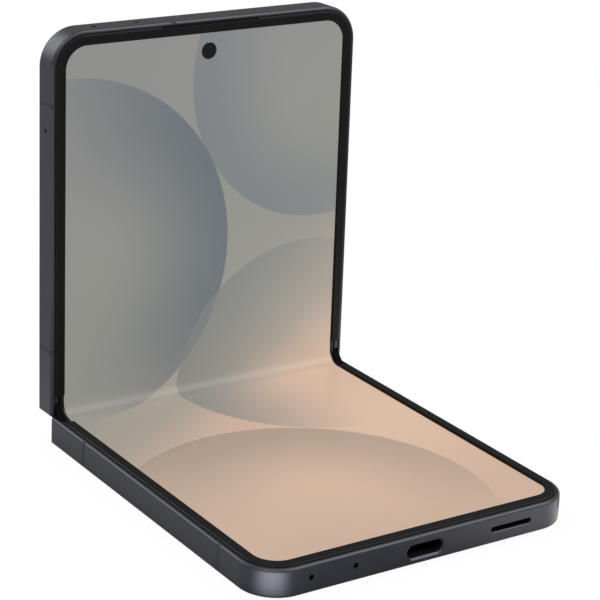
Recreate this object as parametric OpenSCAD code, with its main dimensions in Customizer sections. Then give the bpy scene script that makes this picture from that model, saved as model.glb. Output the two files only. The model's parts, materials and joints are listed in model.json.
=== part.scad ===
// Clamshell folding phone, standing half open on its lower half.
//
// Each half is drawn in a frame of its own: X runs across, +Y away from the fold, +Z faces the viewer,
// and the inner display's surface is the plane z = 0. Its fold axis lies along X at y = 0, a little
// under that surface. The spine between the halves has a frame midway between the two fold axes: +Y
// runs towards the upper half and +Z towards the display. The modules on_lower, on_upper and
// on_spine place them, and at_axis goes from a half's frame to one whose X axis is its fold axis.

/* [Body] */
// Width across the side rails
body_w = 75.2; // [73:0.2:82]
// Length of one half, from the fold line to its outer end
half_l = 83.6; // [82:0.1:92]
// Thickness of one half, over the raised bezel
body_t = 6.5; // [6.4:0.1:8]
// Radius of the outer corners
corner_r = 8; // [6:0.5:11]
// Thickness of the side rails
rail_w = 2; // [1.8:0.1:2.4]
// Width of the soft edge on the display side of the rails
edge_w = 0.75; // [0.45:0.05:1]
// Height of the soft edge on the display side of the rails
edge_h = 0.7; // [0.6:0.1:1.6]
// Height of the rails' display-side rim over the display's surface
rim_h = 0.2; // [-0.6:0.05:0.4]
// Radius of the back edge of the rails
back_r = 0.6; // [0.3:0.05:0.7]
// Width of the flat rim between that radius and the back glass
back_rim = 0.3; // [0.2:0.05:0.5]
// Thickness of the mid plate inside each half
plate_t = 0.5; // [0.4:0.05:0.7]
// Thickness of the back glass
glass_t = 0.6; // [0.5:0.05:0.8]
// Radius of the back glass's rounded edge
glass_edge_r = 0.25; // [0.1:0.05:0.35]

/* [Fold] */
// Opening angle between the two display faces, as it stands
open_angle = 91; // [60:1:130]
// Distance between the two fold axes
pivot_gap = 2; // [1.8:0.1:2.2]
// Depth of the fold axes under the display's surface
axis_depth = 0.3; // [0.2:0.05:0.35]
// Gap between the two frames when the phone lies flat
end_gap = 0.2; // [0.1:0.05:0.4]
// Depth of the spine under the display
spine_depth = 3.1; // [3:0.05:3.3]
// Width of the spine across the fold
spine_w = 11.2; // [10.8:0.1:11.3]
// Radius of the spine's long edges
spine_r = 2.1; // [1.9:0.1:2.3]
// Thickness of the spine's sheet
spine_t = 0.35; // [0.25:0.05:0.4]
// Radius of the display where it bends
bend_r = 3.2; // [2.8:0.1:5]
// Middle radius of the arc-shaped hinge rails
arc_r = 2.37; // [2.3:0.01:2.4]
// Thickness of the arc-shaped hinge rails
arc_t = 0.5; // [0.4:0.05:0.6]
// Width of one arc-shaped hinge rail along the fold
arc_w = 3; // [2:0.5:4]
// Distance of each hinge block from the middle
hinge_x = 21; // [14:0.5:26]
// Tooth size of the hinge's gears, pitch diameter over number of teeth
gear_m = 0.154; // [0.15:0.002:0.156]
// Radius of the end caps' wings round the fold axes
wing_r = 1.75; // [1.4:0.05:1.8]
// Height of the end caps over the fold axes
wing_h = 1.1; // [0.7:0.05:1.2]

/* [Display] */
// Black border between the rails' outer faces and the lit picture
border_w = 3.1; // [2.8:0.1:4]
// Height of the bezel over the display
bezel_h = 0.6; // [0.4:0.05:0.7]
// Thickness of the folding display
display_t = 0.5; // [0.4:0.05:0.6]
// Start of the bezel, from the fold axis
bezel_start = 3.8; // [3.4:0.1:6]
// Radius of the hole for the front camera
punch_r = 1.9; // [1.5:0.1:2.4]
// Distance of the front camera from the outer end of the upper half
punch_from_end = 7.1; // [6.5:0.1:9]
// Length of the earpiece slit
ear_l = 24; // [16:1:30]

/* [Ports and keys] */
// Depth of the socket's and keys' middle under the display surface
port_depth = 3.1; // [2.8:0.05:3.4]
// Width of the socket's mouth
usb_w = 8.34; // [8.34:0.01:8.4]
// Height of the socket's mouth
usb_h = 2.56; // [2.56:0.01:2.6]
// Depth of the socket
usb_l = 7.3; // [6.5:0.1:8]
// Chamfer of the socket's mouth
usb_chamfer = 0.35; // [0.1:0.05:0.4]
// Length of the loudspeaker slot
speaker_l = 10; // [8:0.5:14]
// Height of the loudspeaker slot
speaker_h = 1.1; // [0.8:0.1:1.4]
// Chamfer of the loudspeaker slot's mouth
speaker_chamfer = 0.15; // [0.05:0.05:0.3]
// Place of the loudspeaker slot's middle, from the side
speaker_from_side = 16.5; // [13.6:0.1:19.6]
// Depth of the loudspeaker slot's middle under the display surface
speaker_depth = 2.8; // [2.7:0.05:3.3]
// Half length of the loudspeaker's box
speaker_half = 10; // [8:0.1:11]
// Radius of the microphone holes
mic_r = 0.6; // [0.3:0.05:0.7]
// Place of the outer microphone hole, from the side
mic_from_side = 11.1; // [9.6:0.1:13.6]
// Distance between the two microphone holes
mic_gap = 10.1; // [6:0.1:13]
// Depth of the microphone holes under the display surface
mic_depth = 2.6; // [2.4:0.05:3.3]
// Length of a microphone's can
mic_l = 3.2; // [2.4:0.1:4]
// Length of the volume key
volume_l = 18; // [14:0.5:20]
// Place of the volume key's middle, from the fold axis
volume_y = 56; // [52:0.5:56]
// Length of the side key
side_key_l = 13; // [10:0.5:16]
// Place of the side key's middle, from the fold axis
side_key_y = 36; // [30:0.5:40]
// Height of both keys
key_h = 2.2; // [1.8:0.1:2.4]
// Radius of the keys' outer edges
key_round = 0.3; // [0.1:0.05:0.5]
// How far the volume key stands out of the rail
key_out = 0.35; // [0.2:0.05:0.5]
// Length of the card tray's face
tray_l = 14.8; // [14:0.1:16]
// Height of the card tray's face
tray_h = 2.2; // [2:0.1:2.4]
// Reach of the card tray into the phone
tray_depth = 17; // [15:0.5:19]
// Depth of the card tray's middle under the display surface
tray_under = 2.6; // [2.5:0.05:3.3]
// Place of the card tray's pin hole, from the fold axis
pin_y = 61.6; // [58:0.1:62.4]
// Width of the antenna breaks
band_w = 1.2; // [0.8:0.1:2]
// Distance of the antenna breaks from the outer end
band_from_end = 15.4; // [14:0.1:16]
// Distance of the antenna breaks from the fold axis
band_from_fold = 13.6; // [12:0.1:16]

/* [Cameras] */
// Radius of the rear cameras' rings
ring_r = 6.2; // [5.5:0.1:6.6]
// Height of the rear cameras' rings over the back glass
ring_h = 0.9; // [0.5:0.1:1.4]
// Place of the outer rear camera, from the side
cam_from_side = 12.1; // [10.6:0.1:12.6]
// Distance between the two rear cameras
cam_gap = 15.5; // [14:0.1:16]
// Distance of the rear cameras from the outer end
cam_from_end = 11; // [10.6:0.1:12]

/* [Inside] */
// Length of the main battery
battery_l = 46; // [36:1:48]
// Length of the second battery
battery2_l = 30; // [20:1:32]
// Outer radius of the charging coil
coil_r = 21; // [16:1:24]
// Length of the vibration motor
motor_l = 12; // [10:0.5:14]
// Width of the vibration motor
motor_w = 7.5; // [6:0.5:8]
// Place of the vibration motor's middle, from the side
motor_from_side = 11; // [10.5:0.1:13]
// Length of the earpiece
earpiece_l = 14; // [10:0.5:18]
// Height of the earpiece
earpiece_h = 2.3; // [1.8:0.1:2.6]
// Width of the board shield over the chips
shield_w = 45; // [36:0.5:46]
// Length of a hinge arm's foot across
foot_w = 8; // [7:0.5:9]
// Length of a hinge arm's foot away from the fold
foot_l = 4; // [3.6:0.1:4.4]
// Thickness of the circuit boards
board_t = 0.7; // [0.5:0.1:0.8]
// Clearance of parts that lie against each other
gap = 0.05; // [0.03:0.01:0.08]
// Running clearance of parts that move
run = 0.1; // [0.08:0.01:0.12]

/* [Hidden] */
$fn = 64;

// The half's own frame
pivot = pivot_gap / 2;
half_w = body_w / 2;
fold_y = -(pivot - end_gap / 2);            // the frame's end at the fold
end_y = half_l - pivot;                     // the frame's outer end
back_z = -(body_t - bezel_h);               // outer face of the back glass
frame_z = back_z + 0.1;                     // the rails' back edge, just inside the glass
rim_z = rim_h;                              // the rails' display-side rim
foot_z = rim_z - 0.25;                      // the ledge that the bezel's foot stands on
shelf_z = -(display_t + 0.15);              // shelf under the display
ceiling_z = shelf_z - plate_t;              // underside of the mid plate
seat_z = back_z + glass_t + gap;            // seat of the back glass
floor_z = seat_z;
rim_in = edge_w + 0.05;                     // inner edge of the rim
cover_in = back_r + back_rim;               // the rails' edge round the back glass
lip_y = 1.6;                                // end of the metal lip along the fold
bay_y = spine_w / 2 - pivot + 0.5;          // end of the bay that the spine turns in
wall_t = 0.8;                               // wall behind that bay
room_y = bay_y + wall_t;                    // start of the room for parts
room_x = half_w - rail_w;                   // half width of that room
ledge_end = rail_w - 0.25;                  // inner end of the ledge for the bezel's foot
room_end = end_y - rail_w;                  // its outer end
through = 1;                                // how far a cut runs past a face

// The fold
turn = (180 - open_angle) / 2;              // each half's turn against the spine
glass_y0 = lip_y + gap;
glass_y1 = end_y - cover_in - gap;
lower_pivot = [0, (glass_y0 + glass_y1) / 2, -back_z - axis_depth];
bend_reach = bend_r * tan(turn);            // from the crease to where the display is straight
crease_back = (pivot - axis_depth * sin(turn)) / cos(turn); // from a fold axis to the crease
bend_y = bend_reach - crease_back;          // where each half's straight display starts
wall_top = -1.05;                           // top of the spine's long walls
spine_end = room_x - run;                   // half length of the spine
cap_t = 0.5;                                // thickness of the spine's end caps

// Ports, keys and cameras
port_z = -port_depth;
speaker_z = -speaker_depth;
mic_z = -mic_depth;
tray_z = -tray_under;
punch_y = end_y - punch_from_end;
cam_y = end_y - cam_from_end;
cam_x = half_w - cam_from_side;
mic_x = half_w - mic_from_side;
speaker_x = half_w - speaker_from_side;
flash_r = 1.7;
tray_far = pin_y + tray_h / 2 + 0.5;        // the tray face's end beyond the pin hole
tray_y = tray_far - tray_l / 2;
tray_t = 1.2;
board_z = ceiling_z - 2 * gap;              // upper face of the boards

// ---------------------------------------------------------------- placing

module on_lower() translate(lower_pivot) mirror([0, 1, 0]) translate([0, 0, axis_depth]) children();

module on_spine()
    translate(lower_pivot) rotate([turn, 0, 0]) translate([0, pivot, 0]) children();

module on_upper()
    on_spine() translate([0, pivot, 0]) rotate([turn, 0, 0]) translate([0, 0, axis_depth]) children();

module at_axis() translate([0, 0, -axis_depth]) children();

module both_sides() for (side = [0, 1]) mirror([side, 0, 0]) children();

// ---------------------------------------------------------------- shapes

// Slot with round ends, along X
module stadium(l, h) {
    square([l - h, h], center = true);
    for (s = [-1, 1]) translate([s * (l - h) / 2, 0]) circle(h / 2);
}

// Slot shape along Y, running from x = 0 to x = depth
module side_slot(l, h, depth) rotate([90, 0, 90]) linear_extrude(depth) stadium(l, h);

// Slot shape along X, running from y = -depth to y = 0
module end_slot(l, h, depth) rotate([90, 0, 0]) linear_extrude(depth) stadium(l, h);

// Chamfer round an end_slot's mouth: a cone at each round end, and a wedge between them
module end_chamfer(l, h, c) {
    over = 0.1;
    for (s = [-1, 1]) translate([s * (l - h) / 2, over, 0]) rotate([90, 0, 0])
        cylinder(r1 = h / 2 + c + over, r2 = h / 2, h = c + over);
    translate([-(l - h) / 2, 0, 0]) rotate([90, 0, 90]) linear_extrude(l - h)
        polygon([[over, -h / 2 - c - over], [over, h / 2 + c + over], [-c, h / 2], [-c, -h / 2]]);
}

// Box by its lowest and highest corner
module block(lo, hi) translate(lo) cube(hi - lo);

// Outline of a half, set in from the outer face, from start to the outer end
module half_outline(inset, start) {
    w = half_w - inset;
    r = corner_r - inset;
    top = end_y - inset;
    difference() {
        translate([-w, start]) square([2 * w, top - start]);
        both_sides() translate([w - r, top - r]) difference() {
            square(r + through);
            circle(r);
        }
    }
}

// Carries a profile round a half's outer edge: children() is drawn with x as the inset, y as z
module along_rails(start) {
    straight = end_y - corner_r - start;
    both_sides() {
        translate([half_w, start + straight, 0]) rotate([90, 0, 0]) linear_extrude(straight)
            mirror([1, 0]) children();
        translate([half_w - corner_r, end_y - corner_r, 0]) rotate_extrude(angle = 90)
            translate([corner_r, 0]) mirror([1, 0]) children();
    }
    translate([-(half_w - corner_r), end_y, 0]) rotate([90, 0, 90])
        linear_extrude(2 * (half_w - corner_r)) mirror([1, 0]) children();
}

// Points of a quarter ellipse, from [x0, y0 + ry] round to [x0 + rx, y0]
function quarter(x0, y0, rx, ry, steps = 6) =
    [for (i = [0:steps]) let (a = 90 * i / steps) [x0 + rx * (1 - cos(a)), y0 + ry * (1 - sin(a))]];

// Section of the rails: soft edge, rim, ledge for the bezel, shelf, seat for the back glass
module rail_profile() {
    front = [for (p = quarter(0, 0, edge_w, edge_h)) [p[0], rim_z - p[1]]];
    back = [for (p = quarter(0, 0, back_r, back_r)) [p[0], frame_z + p[1]]];
    polygon(concat(
        front,
        [[rim_in, rim_z], [rim_in, foot_z], [ledge_end, foot_z], [ledge_end, shelf_z],
         [rail_w, shelf_z], [rail_w, seat_z], [cover_in, seat_z], [cover_in, frame_z]],
        [for (i = [len(back) - 1:-1:0]) back[i]]
    ));
}

// Section of the bezel: foot on the rails' ledge, rounded flank, flat top over the display's edge
module bezel_profile() {
    foot = rim_in + run;
    flank = 0.55;
    flank_pts = [for (p = quarter(0, 0, flank, bezel_h - rim_z)) [foot + p[0], bezel_h - p[1]]];
    polygon(concat(
        [[foot, foot_z + gap]],
        flank_pts,
        [[border_w - 0.15, bezel_h], [border_w, bezel_h - 0.15], [border_w, gap],
         [rail_w + run, gap], [rail_w + run, shelf_z + gap],
         [ledge_end + run, shelf_z + gap], [ledge_end + run, foot_z + gap]]
    ));
}

// ---------------------------------------------------------------- the frames

// Corner left over beside a quarter circle, which rounds an edge off when it is cut away
module edge_round(r) difference() {
    translate([-through, -through]) square(r + through);
    translate([r, r]) circle(r);
}

end_back_r = 0.5;                           // radius along the fold end's back edge
end_front_r = 0.45;                         // radius along its display-side edge
end_side_r = 0.3;                           // radius along its outer edges

// Rounds the edges of the frame's fold end
module fold_end_rounds() {
    translate([-body_w, fold_y, frame_z]) rotate([90, 0, 90]) linear_extrude(2 * body_w)
        edge_round(end_back_r);
    translate([-body_w, fold_y, rim_z]) rotate([90, 0, 90]) linear_extrude(2 * body_w)
        mirror([0, 1]) edge_round(end_front_r);
    both_sides() translate([half_w, fold_y, 2 * back_z]) linear_extrude(-4 * back_z)
        mirror([1, 0]) edge_round(end_side_r);
}

// Room in the rails for the wings of the spine's end caps
module wing_room() at_axis() both_sides() translate([spine_end - cap_t, 0, 0]) rotate([0, 90, 0])
    cylinder(r = wing_r + run, h = half_w - rim_in - spine_end + cap_t);

// Room for one hinge arm: over the wall behind the bay, and a pocket in the mid plate
arm_z0 = shelf_z - 0.35;
arm_z1 = shelf_z + 0.03;
foot_y = room_y + 0.4;
arm_end = foot_y + foot_l;

module arm_pocket(x) {
    block([x - arc_w / 2 - 2 * run, bay_y - through, arm_z0 - run], [x + arc_w / 2 + 2 * run, foot_y, 0]);
    block([x - foot_w / 2 - run, foot_y - run, ceiling_z],
          [x + foot_w / 2 + run, arm_end + run, 0]);
}

pad_t = 0.8;

// Pad under one arm's foot
module arm_pad(x) block([x - foot_w / 2 - 0.8, room_y - gap, ceiling_z - pad_t],
                        [x + foot_w / 2 + 0.8, arm_end + 0.8, ceiling_z]);

module at_screws(x) for (t = [-1, 1])
    translate([x + t * foot_w / 4, (foot_y + arm_end) / 2, 0]) children();

// Places across of one half's arms: two with arc-shaped rails, and one with the gear between them
function arm_places(side) = [for (s = [-1, 0, 1]) s * hinge_x + side * (s == 0 ? sync_x : track_x)];

// Ring of rails, mid plate, wall behind the spine's bay and lip along the fold
module frame_body(arm_side) difference() {
    union() {
        along_rails(fold_y) rail_profile();
        translate([0, 0, ceiling_z]) linear_extrude(plate_t) half_outline(rail_w - 0.2, bay_y);
        for (x = arm_places(arm_side)) arm_pad(x);
        block([-room_x - 0.2, bay_y, seat_z], [room_x + 0.2, room_y, ceiling_z + 0.1]);
        block([-room_x - 0.2, fold_y, frame_z], [room_x + 0.2, lip_y, seat_z]);
    }
    fold_end_rounds();
    wing_room();
    for (x = arm_places(arm_side)) {
        arm_pocket(x);
        at_screws(x) translate([0, 0, back_z]) cylinder(r = screw_r, h = body_t);
    }
}

// The breaks are short lengths of the rail's own section, one set for the cut and one for the fill
break_depth = rim_in + gap;

module breaks(across) {
    for (y = [band_from_fold, end_y - band_from_end]) both_sides()
        translate([half_w, y + band_w / 2, 0]) rotate([90, 0, 0]) linear_extrude(band_w)
            mirror([1, 0]) break_section();
    for (x = across) translate([x - band_w / 2, end_y, 0]) rotate([90, 0, 90])
        linear_extrude(band_w) mirror([1, 0]) break_section();
}

module break_section() intersection() {
    rail_profile();
    translate([-through, 2 * back_z]) square([break_depth + through, -4 * back_z]);
}

module break_cuts(across) {
    for (y = [band_from_fold, end_y - band_from_end]) both_sides()
        block([half_w - break_depth, y - band_w / 2, back_z - through],
              [half_w + through, y + band_w / 2, through]);
    for (x = across)
        block([x - band_w / 2, end_y - break_depth, back_z - through],
              [x + band_w / 2, end_y + through, through]);
}

upper_breaks_x = [-9];
lower_breaks_x = [];

module mic_holes() for (x = [-mic_x, -mic_x + mic_gap])
    translate([x, end_y + through, mic_z]) rotate([90, 0, 0])
        cylinder(r = mic_r, h = rail_w + 2 * through);

module lower_frame() color("#3d3f47") on_lower() difference() {
    frame_body(-1);
    break_cuts(lower_breaks_x);
    mic_holes();
    translate([0, end_y + through, port_z])
        end_slot(usb_w + 2 * gap, usb_h + 2 * gap, rail_w + 2 * through);
    translate([0, end_y, port_z]) end_chamfer(usb_w + 2 * gap, usb_h + 2 * gap, usb_chamfer);
    translate([speaker_x, end_y + through, speaker_z])
        end_slot(speaker_l, speaker_h, rail_w + 2 * through);
    translate([speaker_x, end_y, speaker_z]) end_chamfer(speaker_l, speaker_h, speaker_chamfer);
    mesh_seat();
}

module upper_frame() color("#3d3f47") on_upper() difference() {
    frame_body(1);
    break_cuts(upper_breaks_x);
    mic_holes();
    // Hole in the mid plate for the front camera
    translate([0, punch_y, ceiling_z - through]) cylinder(r = lens_r + run, h = body_t);
    ear_slit(ceiling_z - through);
    // Slots for the keys, with the flanges' room behind them, and for the card tray
    translate([room_x - through, volume_y, port_z])
        side_slot(volume_l + 2 * run, key_h + 2 * run, rail_w + 2 * through);
    translate([room_x - through, side_key_y, port_z])
        side_slot(side_key_l + 2 * run, key_h + 2 * run, rail_w + 2 * through);
    mirror([1, 0, 0]) translate([room_x - through, tray_y, tray_z])
        side_slot(tray_l + 2 * gap, tray_h + 2 * gap, rail_w + 2 * through);
}

module lower_antenna_breaks() color("#34363d") on_lower() breaks(lower_breaks_x);
module upper_antenna_breaks() color("#34363d") on_upper() difference() {
    breaks(upper_breaks_x);
    ear_slit(ceiling_z - through);
}

// ---------------------------------------------------------------- covers and displays

// Back glass, its outer edge rounded all the way from the fold round to the fold
module back_plate() difference() {
    translate([0, 0, back_z]) linear_extrude(glass_t) half_outline(cover_in + gap, glass_y0);
    along_rails(glass_y0 - through) translate([cover_in + gap, back_z]) edge_round(glass_edge_r);
}

module lower_rear_glass() color("#4a4d56") on_lower() back_plate();

module camera_places() for (i = [0, 1]) translate([cam_x - i * cam_gap, cam_y, 0]) children();
module flash_place() translate([cam_x - cam_gap / 2, cam_y - ring_r - flash_r, 0]) children();

module cover_glass() color("#15161a") on_upper() difference() {
    back_plate();
    camera_places() translate([0, 0, back_z - through])
        cylinder(r = ring_r + gap, h = glass_t + 2 * through);
    flash_place() translate([0, 0, back_z - through])
        cylinder(r = flash_r + gap, h = glass_t + 2 * through);
}

panel_t = 0.4;
panel_z = seat_z + panel_t;                 // inner face of the cover display

module cover_display() color("#0b0c0e") on_upper() translate([0, 0, seat_z]) difference() {
    linear_extrude(panel_t) half_outline(rail_w + run, room_y + run);
    camera_places() translate([0, 0, -through]) cylinder(r = ring_r + gap, h = panel_t + 2 * through);
    flash_place() translate([0, 0, -through]) cylinder(r = flash_r + gap, h = panel_t + 2 * through);
}

module lower_bezel() color("#1d1e20") on_lower() along_rails(bezel_start) bezel_profile();

module upper_bezel() color("#1d1e20") on_upper() difference() {
    along_rails(bezel_start) bezel_profile();
    ear_slit(foot_z - through);
}

module straight_display() translate([0, 0, -display_t]) linear_extrude(display_t)
    half_outline(rail_w + 2 * run, bend_y);

module lower_display() color("#c9ab95") on_lower() straight_display();

module upper_display() color("#8b8c89") on_upper() difference() {
    straight_display();
    translate([0, punch_y, -body_t]) cylinder(r = punch_r, h = 2 * body_t);
}

// The bent length of the display: an arc that meets both straight lengths
module display_fold() color("#9a948c") on_spine() {
    centre_z = bend_r / cos(turn) - crease_back * sin(turn) + axis_depth * cos(turn);
    steps = 12;
    outer = bend_r + display_t;
    sheet = concat(
        [for (i = [-steps:steps]) bend_r * [sin(turn * i / steps), -cos(turn * i / steps)]],
        [for (i = [steps:-1:-steps]) outer * [sin(turn * i / steps), -cos(turn * i / steps)]]
    );
    w = half_w - border_w + 0.5;
    translate([-w, 0, centre_z]) rotate([90, 0, 90]) linear_extrude(2 * w) polygon(sheet);
}

// ---------------------------------------------------------------- the spine and its hinges

// Half section of the spine, set in from its outer face
module spine_section(inset, top) {
    w = spine_w / 2 - inset;
    r = spine_r - inset;
    bottom = -spine_depth + inset;
    translate([-w, bottom + r]) square([2 * w, top - bottom - r]);
    translate([-w + r, bottom]) square([2 * (w - r), r + 0.01]);
    for (s = [-1, 1]) translate([s * (w - r), bottom + r]) circle(r);
}

// Draws children, a shape in the spine's section, as a bar from x0 to x1
module spine_bar(x0, x1) translate([x0, 0, 0]) rotate([90, 0, 90]) linear_extrude(x1 - x0) children();

module spine_cover() color("#3a3c44") on_spine()
    spine_bar(-spine_end + cap_t, spine_end - cap_t) difference() {
        intersection() {
            spine_section(0, 0);
            translate([-spine_w, -2 * spine_depth]) square([2 * spine_w, 2 * spine_depth + wall_top]);
        }
        spine_section(spine_t, 1);
    }

// Plastic cap at each end of the spine, with wings that fill the corner between the bezels' ends
module hinge_end_caps() color("#202124") on_spine() both_sides() {
    spine_bar(spine_end - cap_t + gap, spine_end) {
        intersection() {
            spine_section(0, 0);
            translate([-spine_w, -2 * spine_depth]) square([2 * spine_w, 2 * spine_depth + wall_top]);
        }
        translate([-1, wall_top - 0.1]) square([2, 0.2]);
        wing_section();
    }
    spine_bar(spine_end - gap, half_w - rim_in - run) wing_section();
}

module wing_section() intersection() {
    for (s = [-1, 1]) translate([s * pivot, 0]) circle(wing_r);
    translate([-spine_w, -spine_depth]) square([2 * spine_w, spine_depth + wing_h]);
}

floor_w = -spine_depth + spine_t;           // inner floor of the spine
arc_in = arc_r - arc_t / 2;
arc_out = arc_r + arc_t / 2;
arc_from = -158;
arc_to = -12;
track_x = arc_w / 2 + 0.6;                  // from a hinge block's middle to each track's middle
block_w = 2 * arc_w + 6;
block_half = 3.4;                           // half width of a hinge block across the fold

// Sector of a ring round a fold axis
module arc_section(r0, r1, a0, a1) intersection() {
    difference() { circle(r1); circle(r0); }
    polygon(concat([[0, 0]], [for (i = [0:4]) let (a = a0 + (a1 - a0) * i / 4) 3 * r1 * [cos(a), sin(a)]]));
}

// Section of what fills the spine, up to a height
module filled_section(half, top) intersection() {
    spine_section(spine_t + gap, 0);
    translate([-half, floor_w]) square([2 * half, top - floor_w]);
}

// Block in the spine with two arc-shaped tracks, one for each half's arm
module hinge_blocks() color("#8d9096") on_spine() for (s = [-1, 1]) translate([s * hinge_x, 0, 0])
    difference() {
        spine_bar(-block_w / 2, block_w / 2) filled_section(block_half, wall_top - 0.1);
        for (side = [-1, 1]) {
            x = side * track_x;
            spine_bar(x - arc_w / 2 - run, x + arc_w / 2 + run) difference() {
                translate([-spine_w, -spine_depth]) square([2 * spine_w, spine_depth]);
                translate([side * pivot, 0]) circle(arc_in - gap);
            }
        }
    }

screw_r = 0.5;
head_r = 0.9;

// Bar from an arc round the fold axis to a foot, which two screws hold on the frame
module arm_foot(w, from) {
    block([-w / 2, from, arm_z0], [w / 2, foot_y + 0.2, arm_z1]);
    block([-foot_w / 2, foot_y, ceiling_z], [foot_w / 2, arm_end, arm_z1]);
}

module foot_holes() at_screws(0) translate([0, 0, ceiling_z]) {
    translate([0, 0, -through]) cylinder(r = screw_r + gap, h = body_t);
    translate([0, 0, plate_t / 2]) cylinder(r = head_r + gap, h = body_t);
}

// Arc-shaped rail that turns round the fold axis, with its arm and screwed foot
module hinge_arm() difference() {
    union() {
        at_axis() spine_bar(-arc_w / 2, arc_w / 2) arc_section(arc_in, arc_out, arc_from, arc_to);
        arm_foot(arc_w, arc_in + 0.1);
    }
    foot_holes();
}

module hinge_arms(side) for (s = [-1, 1]) translate([s * hinge_x + side * track_x, 0, 0]) hinge_arm();

module hinge_screws(side) for (x = arm_places(side)) at_screws(x) translate([0, 0, ceiling_z]) {
    translate([0, 0, -pad_t]) cylinder(r = screw_r, h = pad_t + plate_t / 2 + gap);
    translate([0, 0, plate_t / 2 + gap]) cylinder(r = head_r, h = 0.2);
}

module lower_hinge_arms() color("#9a9da3") on_lower() hinge_arms(-1);
module upper_hinge_arms() color("#9a9da3") on_upper() hinge_arms(1);
module lower_hinge_screws() color("#b9bcc2") on_lower() hinge_screws(-1);
module upper_hinge_screws() color("#b9bcc2") on_upper() hinge_screws(1);

// ---------------------------------------------------------------- the gears that keep both halves in step

// Each half carries an arc with teeth on its inside, round its fold axis. Four pinions in a row in
// the spine join the two arcs, so that both halves turn by the same angle.
pinion_teeth = 8;
arc_teeth = 26;
pinion_r = gear_m * pinion_teeth / 2;
gear_arc_r = gear_m * arc_teeth / 2;
tip = 0.85 * gear_m;                        // tooth height outside the pitch circle
root = 1.05 * gear_m;                       // and inside it
slack = 0.12;                               // share of a tooth's width left free
pressure = 20;                              // pressure angle
mesh_w = 2;                                 // width in which the four pinions mesh
wall_w = 0.4;                               // thickness of the gear box's walls
sync_w = 1.6;                               // width of a toothed arc
sync_x = mesh_w / 2 + wall_w + run + sync_w / 2; // its middle
gear_far = [for (k = [0:3]) (1.5 - k) * 2 * pinion_r]; // places of the pinions across the fold
gear_w = -sqrt(pow(gear_arc_r - pinion_r, 2) - pow(gear_far[0] - pivot, 2)); // and their height
contact = atan2(gear_w, gear_far[0] - pivot); // direction in which the first pinion meets its arc
shaft_r = 0.25;

function involute(a) = tan(a) * 180 / PI - a;

// Half angle of a tooth at radius r, on a gear of n teeth that are wide times half a pitch
function half_tooth(r, n, wide) =
    let (base = gear_m * n / 2 * cos(pressure))
    90 / n * wide + involute(pressure) - involute(acos(min(1, base / max(r, base))));

// Outline of a gear with n involute teeth between radii r0 and r1, one of them on the +X side
module gear_outline(n, r0, r1, wide, steps = 3) {
    radii = [for (i = [0:steps]) r0 + (r1 - r0) * i / steps];
    polygon([for (k = [0:n - 1]) each concat(
        [for (r = radii) let (a = 360 * k / n - half_tooth(r, n, wide)) r * [cos(a), sin(a)]],
        [for (i = [steps:-1:0]) let (r = radii[i], a = 360 * k / n + half_tooth(r, n, wide))
            r * [cos(a), sin(a)]]
    )]);
}

module pinion_outline(k) translate([gear_far[k], gear_w])
    rotate(k % 2 == 0 ? contact : 180 / pinion_teeth - contact)
        gear_outline(pinion_teeth, pinion_r - root, pinion_r + tip, 1 - slack);

// Pinion k with its shaft; the two outer ones are longer, to reach their arcs
module pinion(k) {
    from = -mesh_w / 2 + gap;
    to = mesh_w / 2 - gap;
    outer = (k == 0 ? 1 : -1) * sync_x;
    spine_bar(from, to) pinion_outline(k);
    if (k == 0 || k == 3) {
        spine_bar(outer - sync_w / 2 - gap, outer + sync_w / 2 + gap) pinion_outline(k);
        shaft(k, k == 0 ? from - wall_w : -gear_end, k == 0 ? gear_end : to + wall_w);
    } else shaft(k, from - wall_w, to + wall_w);
}

module shaft(k, x0, x1) translate([x0, gear_far[k], gear_w]) rotate([0, 90, 0])
    cylinder(r = shaft_r, h = x1 - x0);

gear_end = sync_x + sync_w / 2 + run + wall_w; // half length of the gear box

module first_pinion() color("#c9a75a") on_spine() pinion(0);
module second_pinion() color("#c9a75a") on_spine() pinion(1);
module third_pinion() color("#c9a75a") on_spine() pinion(2);
module fourth_pinion() color("#c9a75a") on_spine() pinion(3);

// Toothed arc round the fold axis; phase turns it by a share of a tooth
module toothed_arc(phase) {
    outer = gear_arc_r + root + 0.38;
    difference() {
        arc_section(gear_arc_r - tip, outer, -156, -38);
        rotate(contact - turn + phase * 360 / arc_teeth)
            gear_outline(arc_teeth, gear_arc_r - tip - 0.02, gear_arc_r + root, 1 + slack);
    }
    arc_section(gear_arc_r + root + 0.02, outer, -40, arc_to);
}

module gear_arm(side, phase) translate([side * sync_x, 0, 0]) difference() {
    union() {
        at_axis() spine_bar(-sync_w / 2, sync_w / 2) toothed_arc(phase);
        arm_foot(sync_w, gear_arc_r + root + 0.1);
    }
    foot_holes();
}

module lower_gear_arm() color("#9a9da3") on_lower() gear_arm(-1, 0.5);
module upper_gear_arm() color("#9a9da3") on_upper() gear_arm(1, 0);

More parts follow.
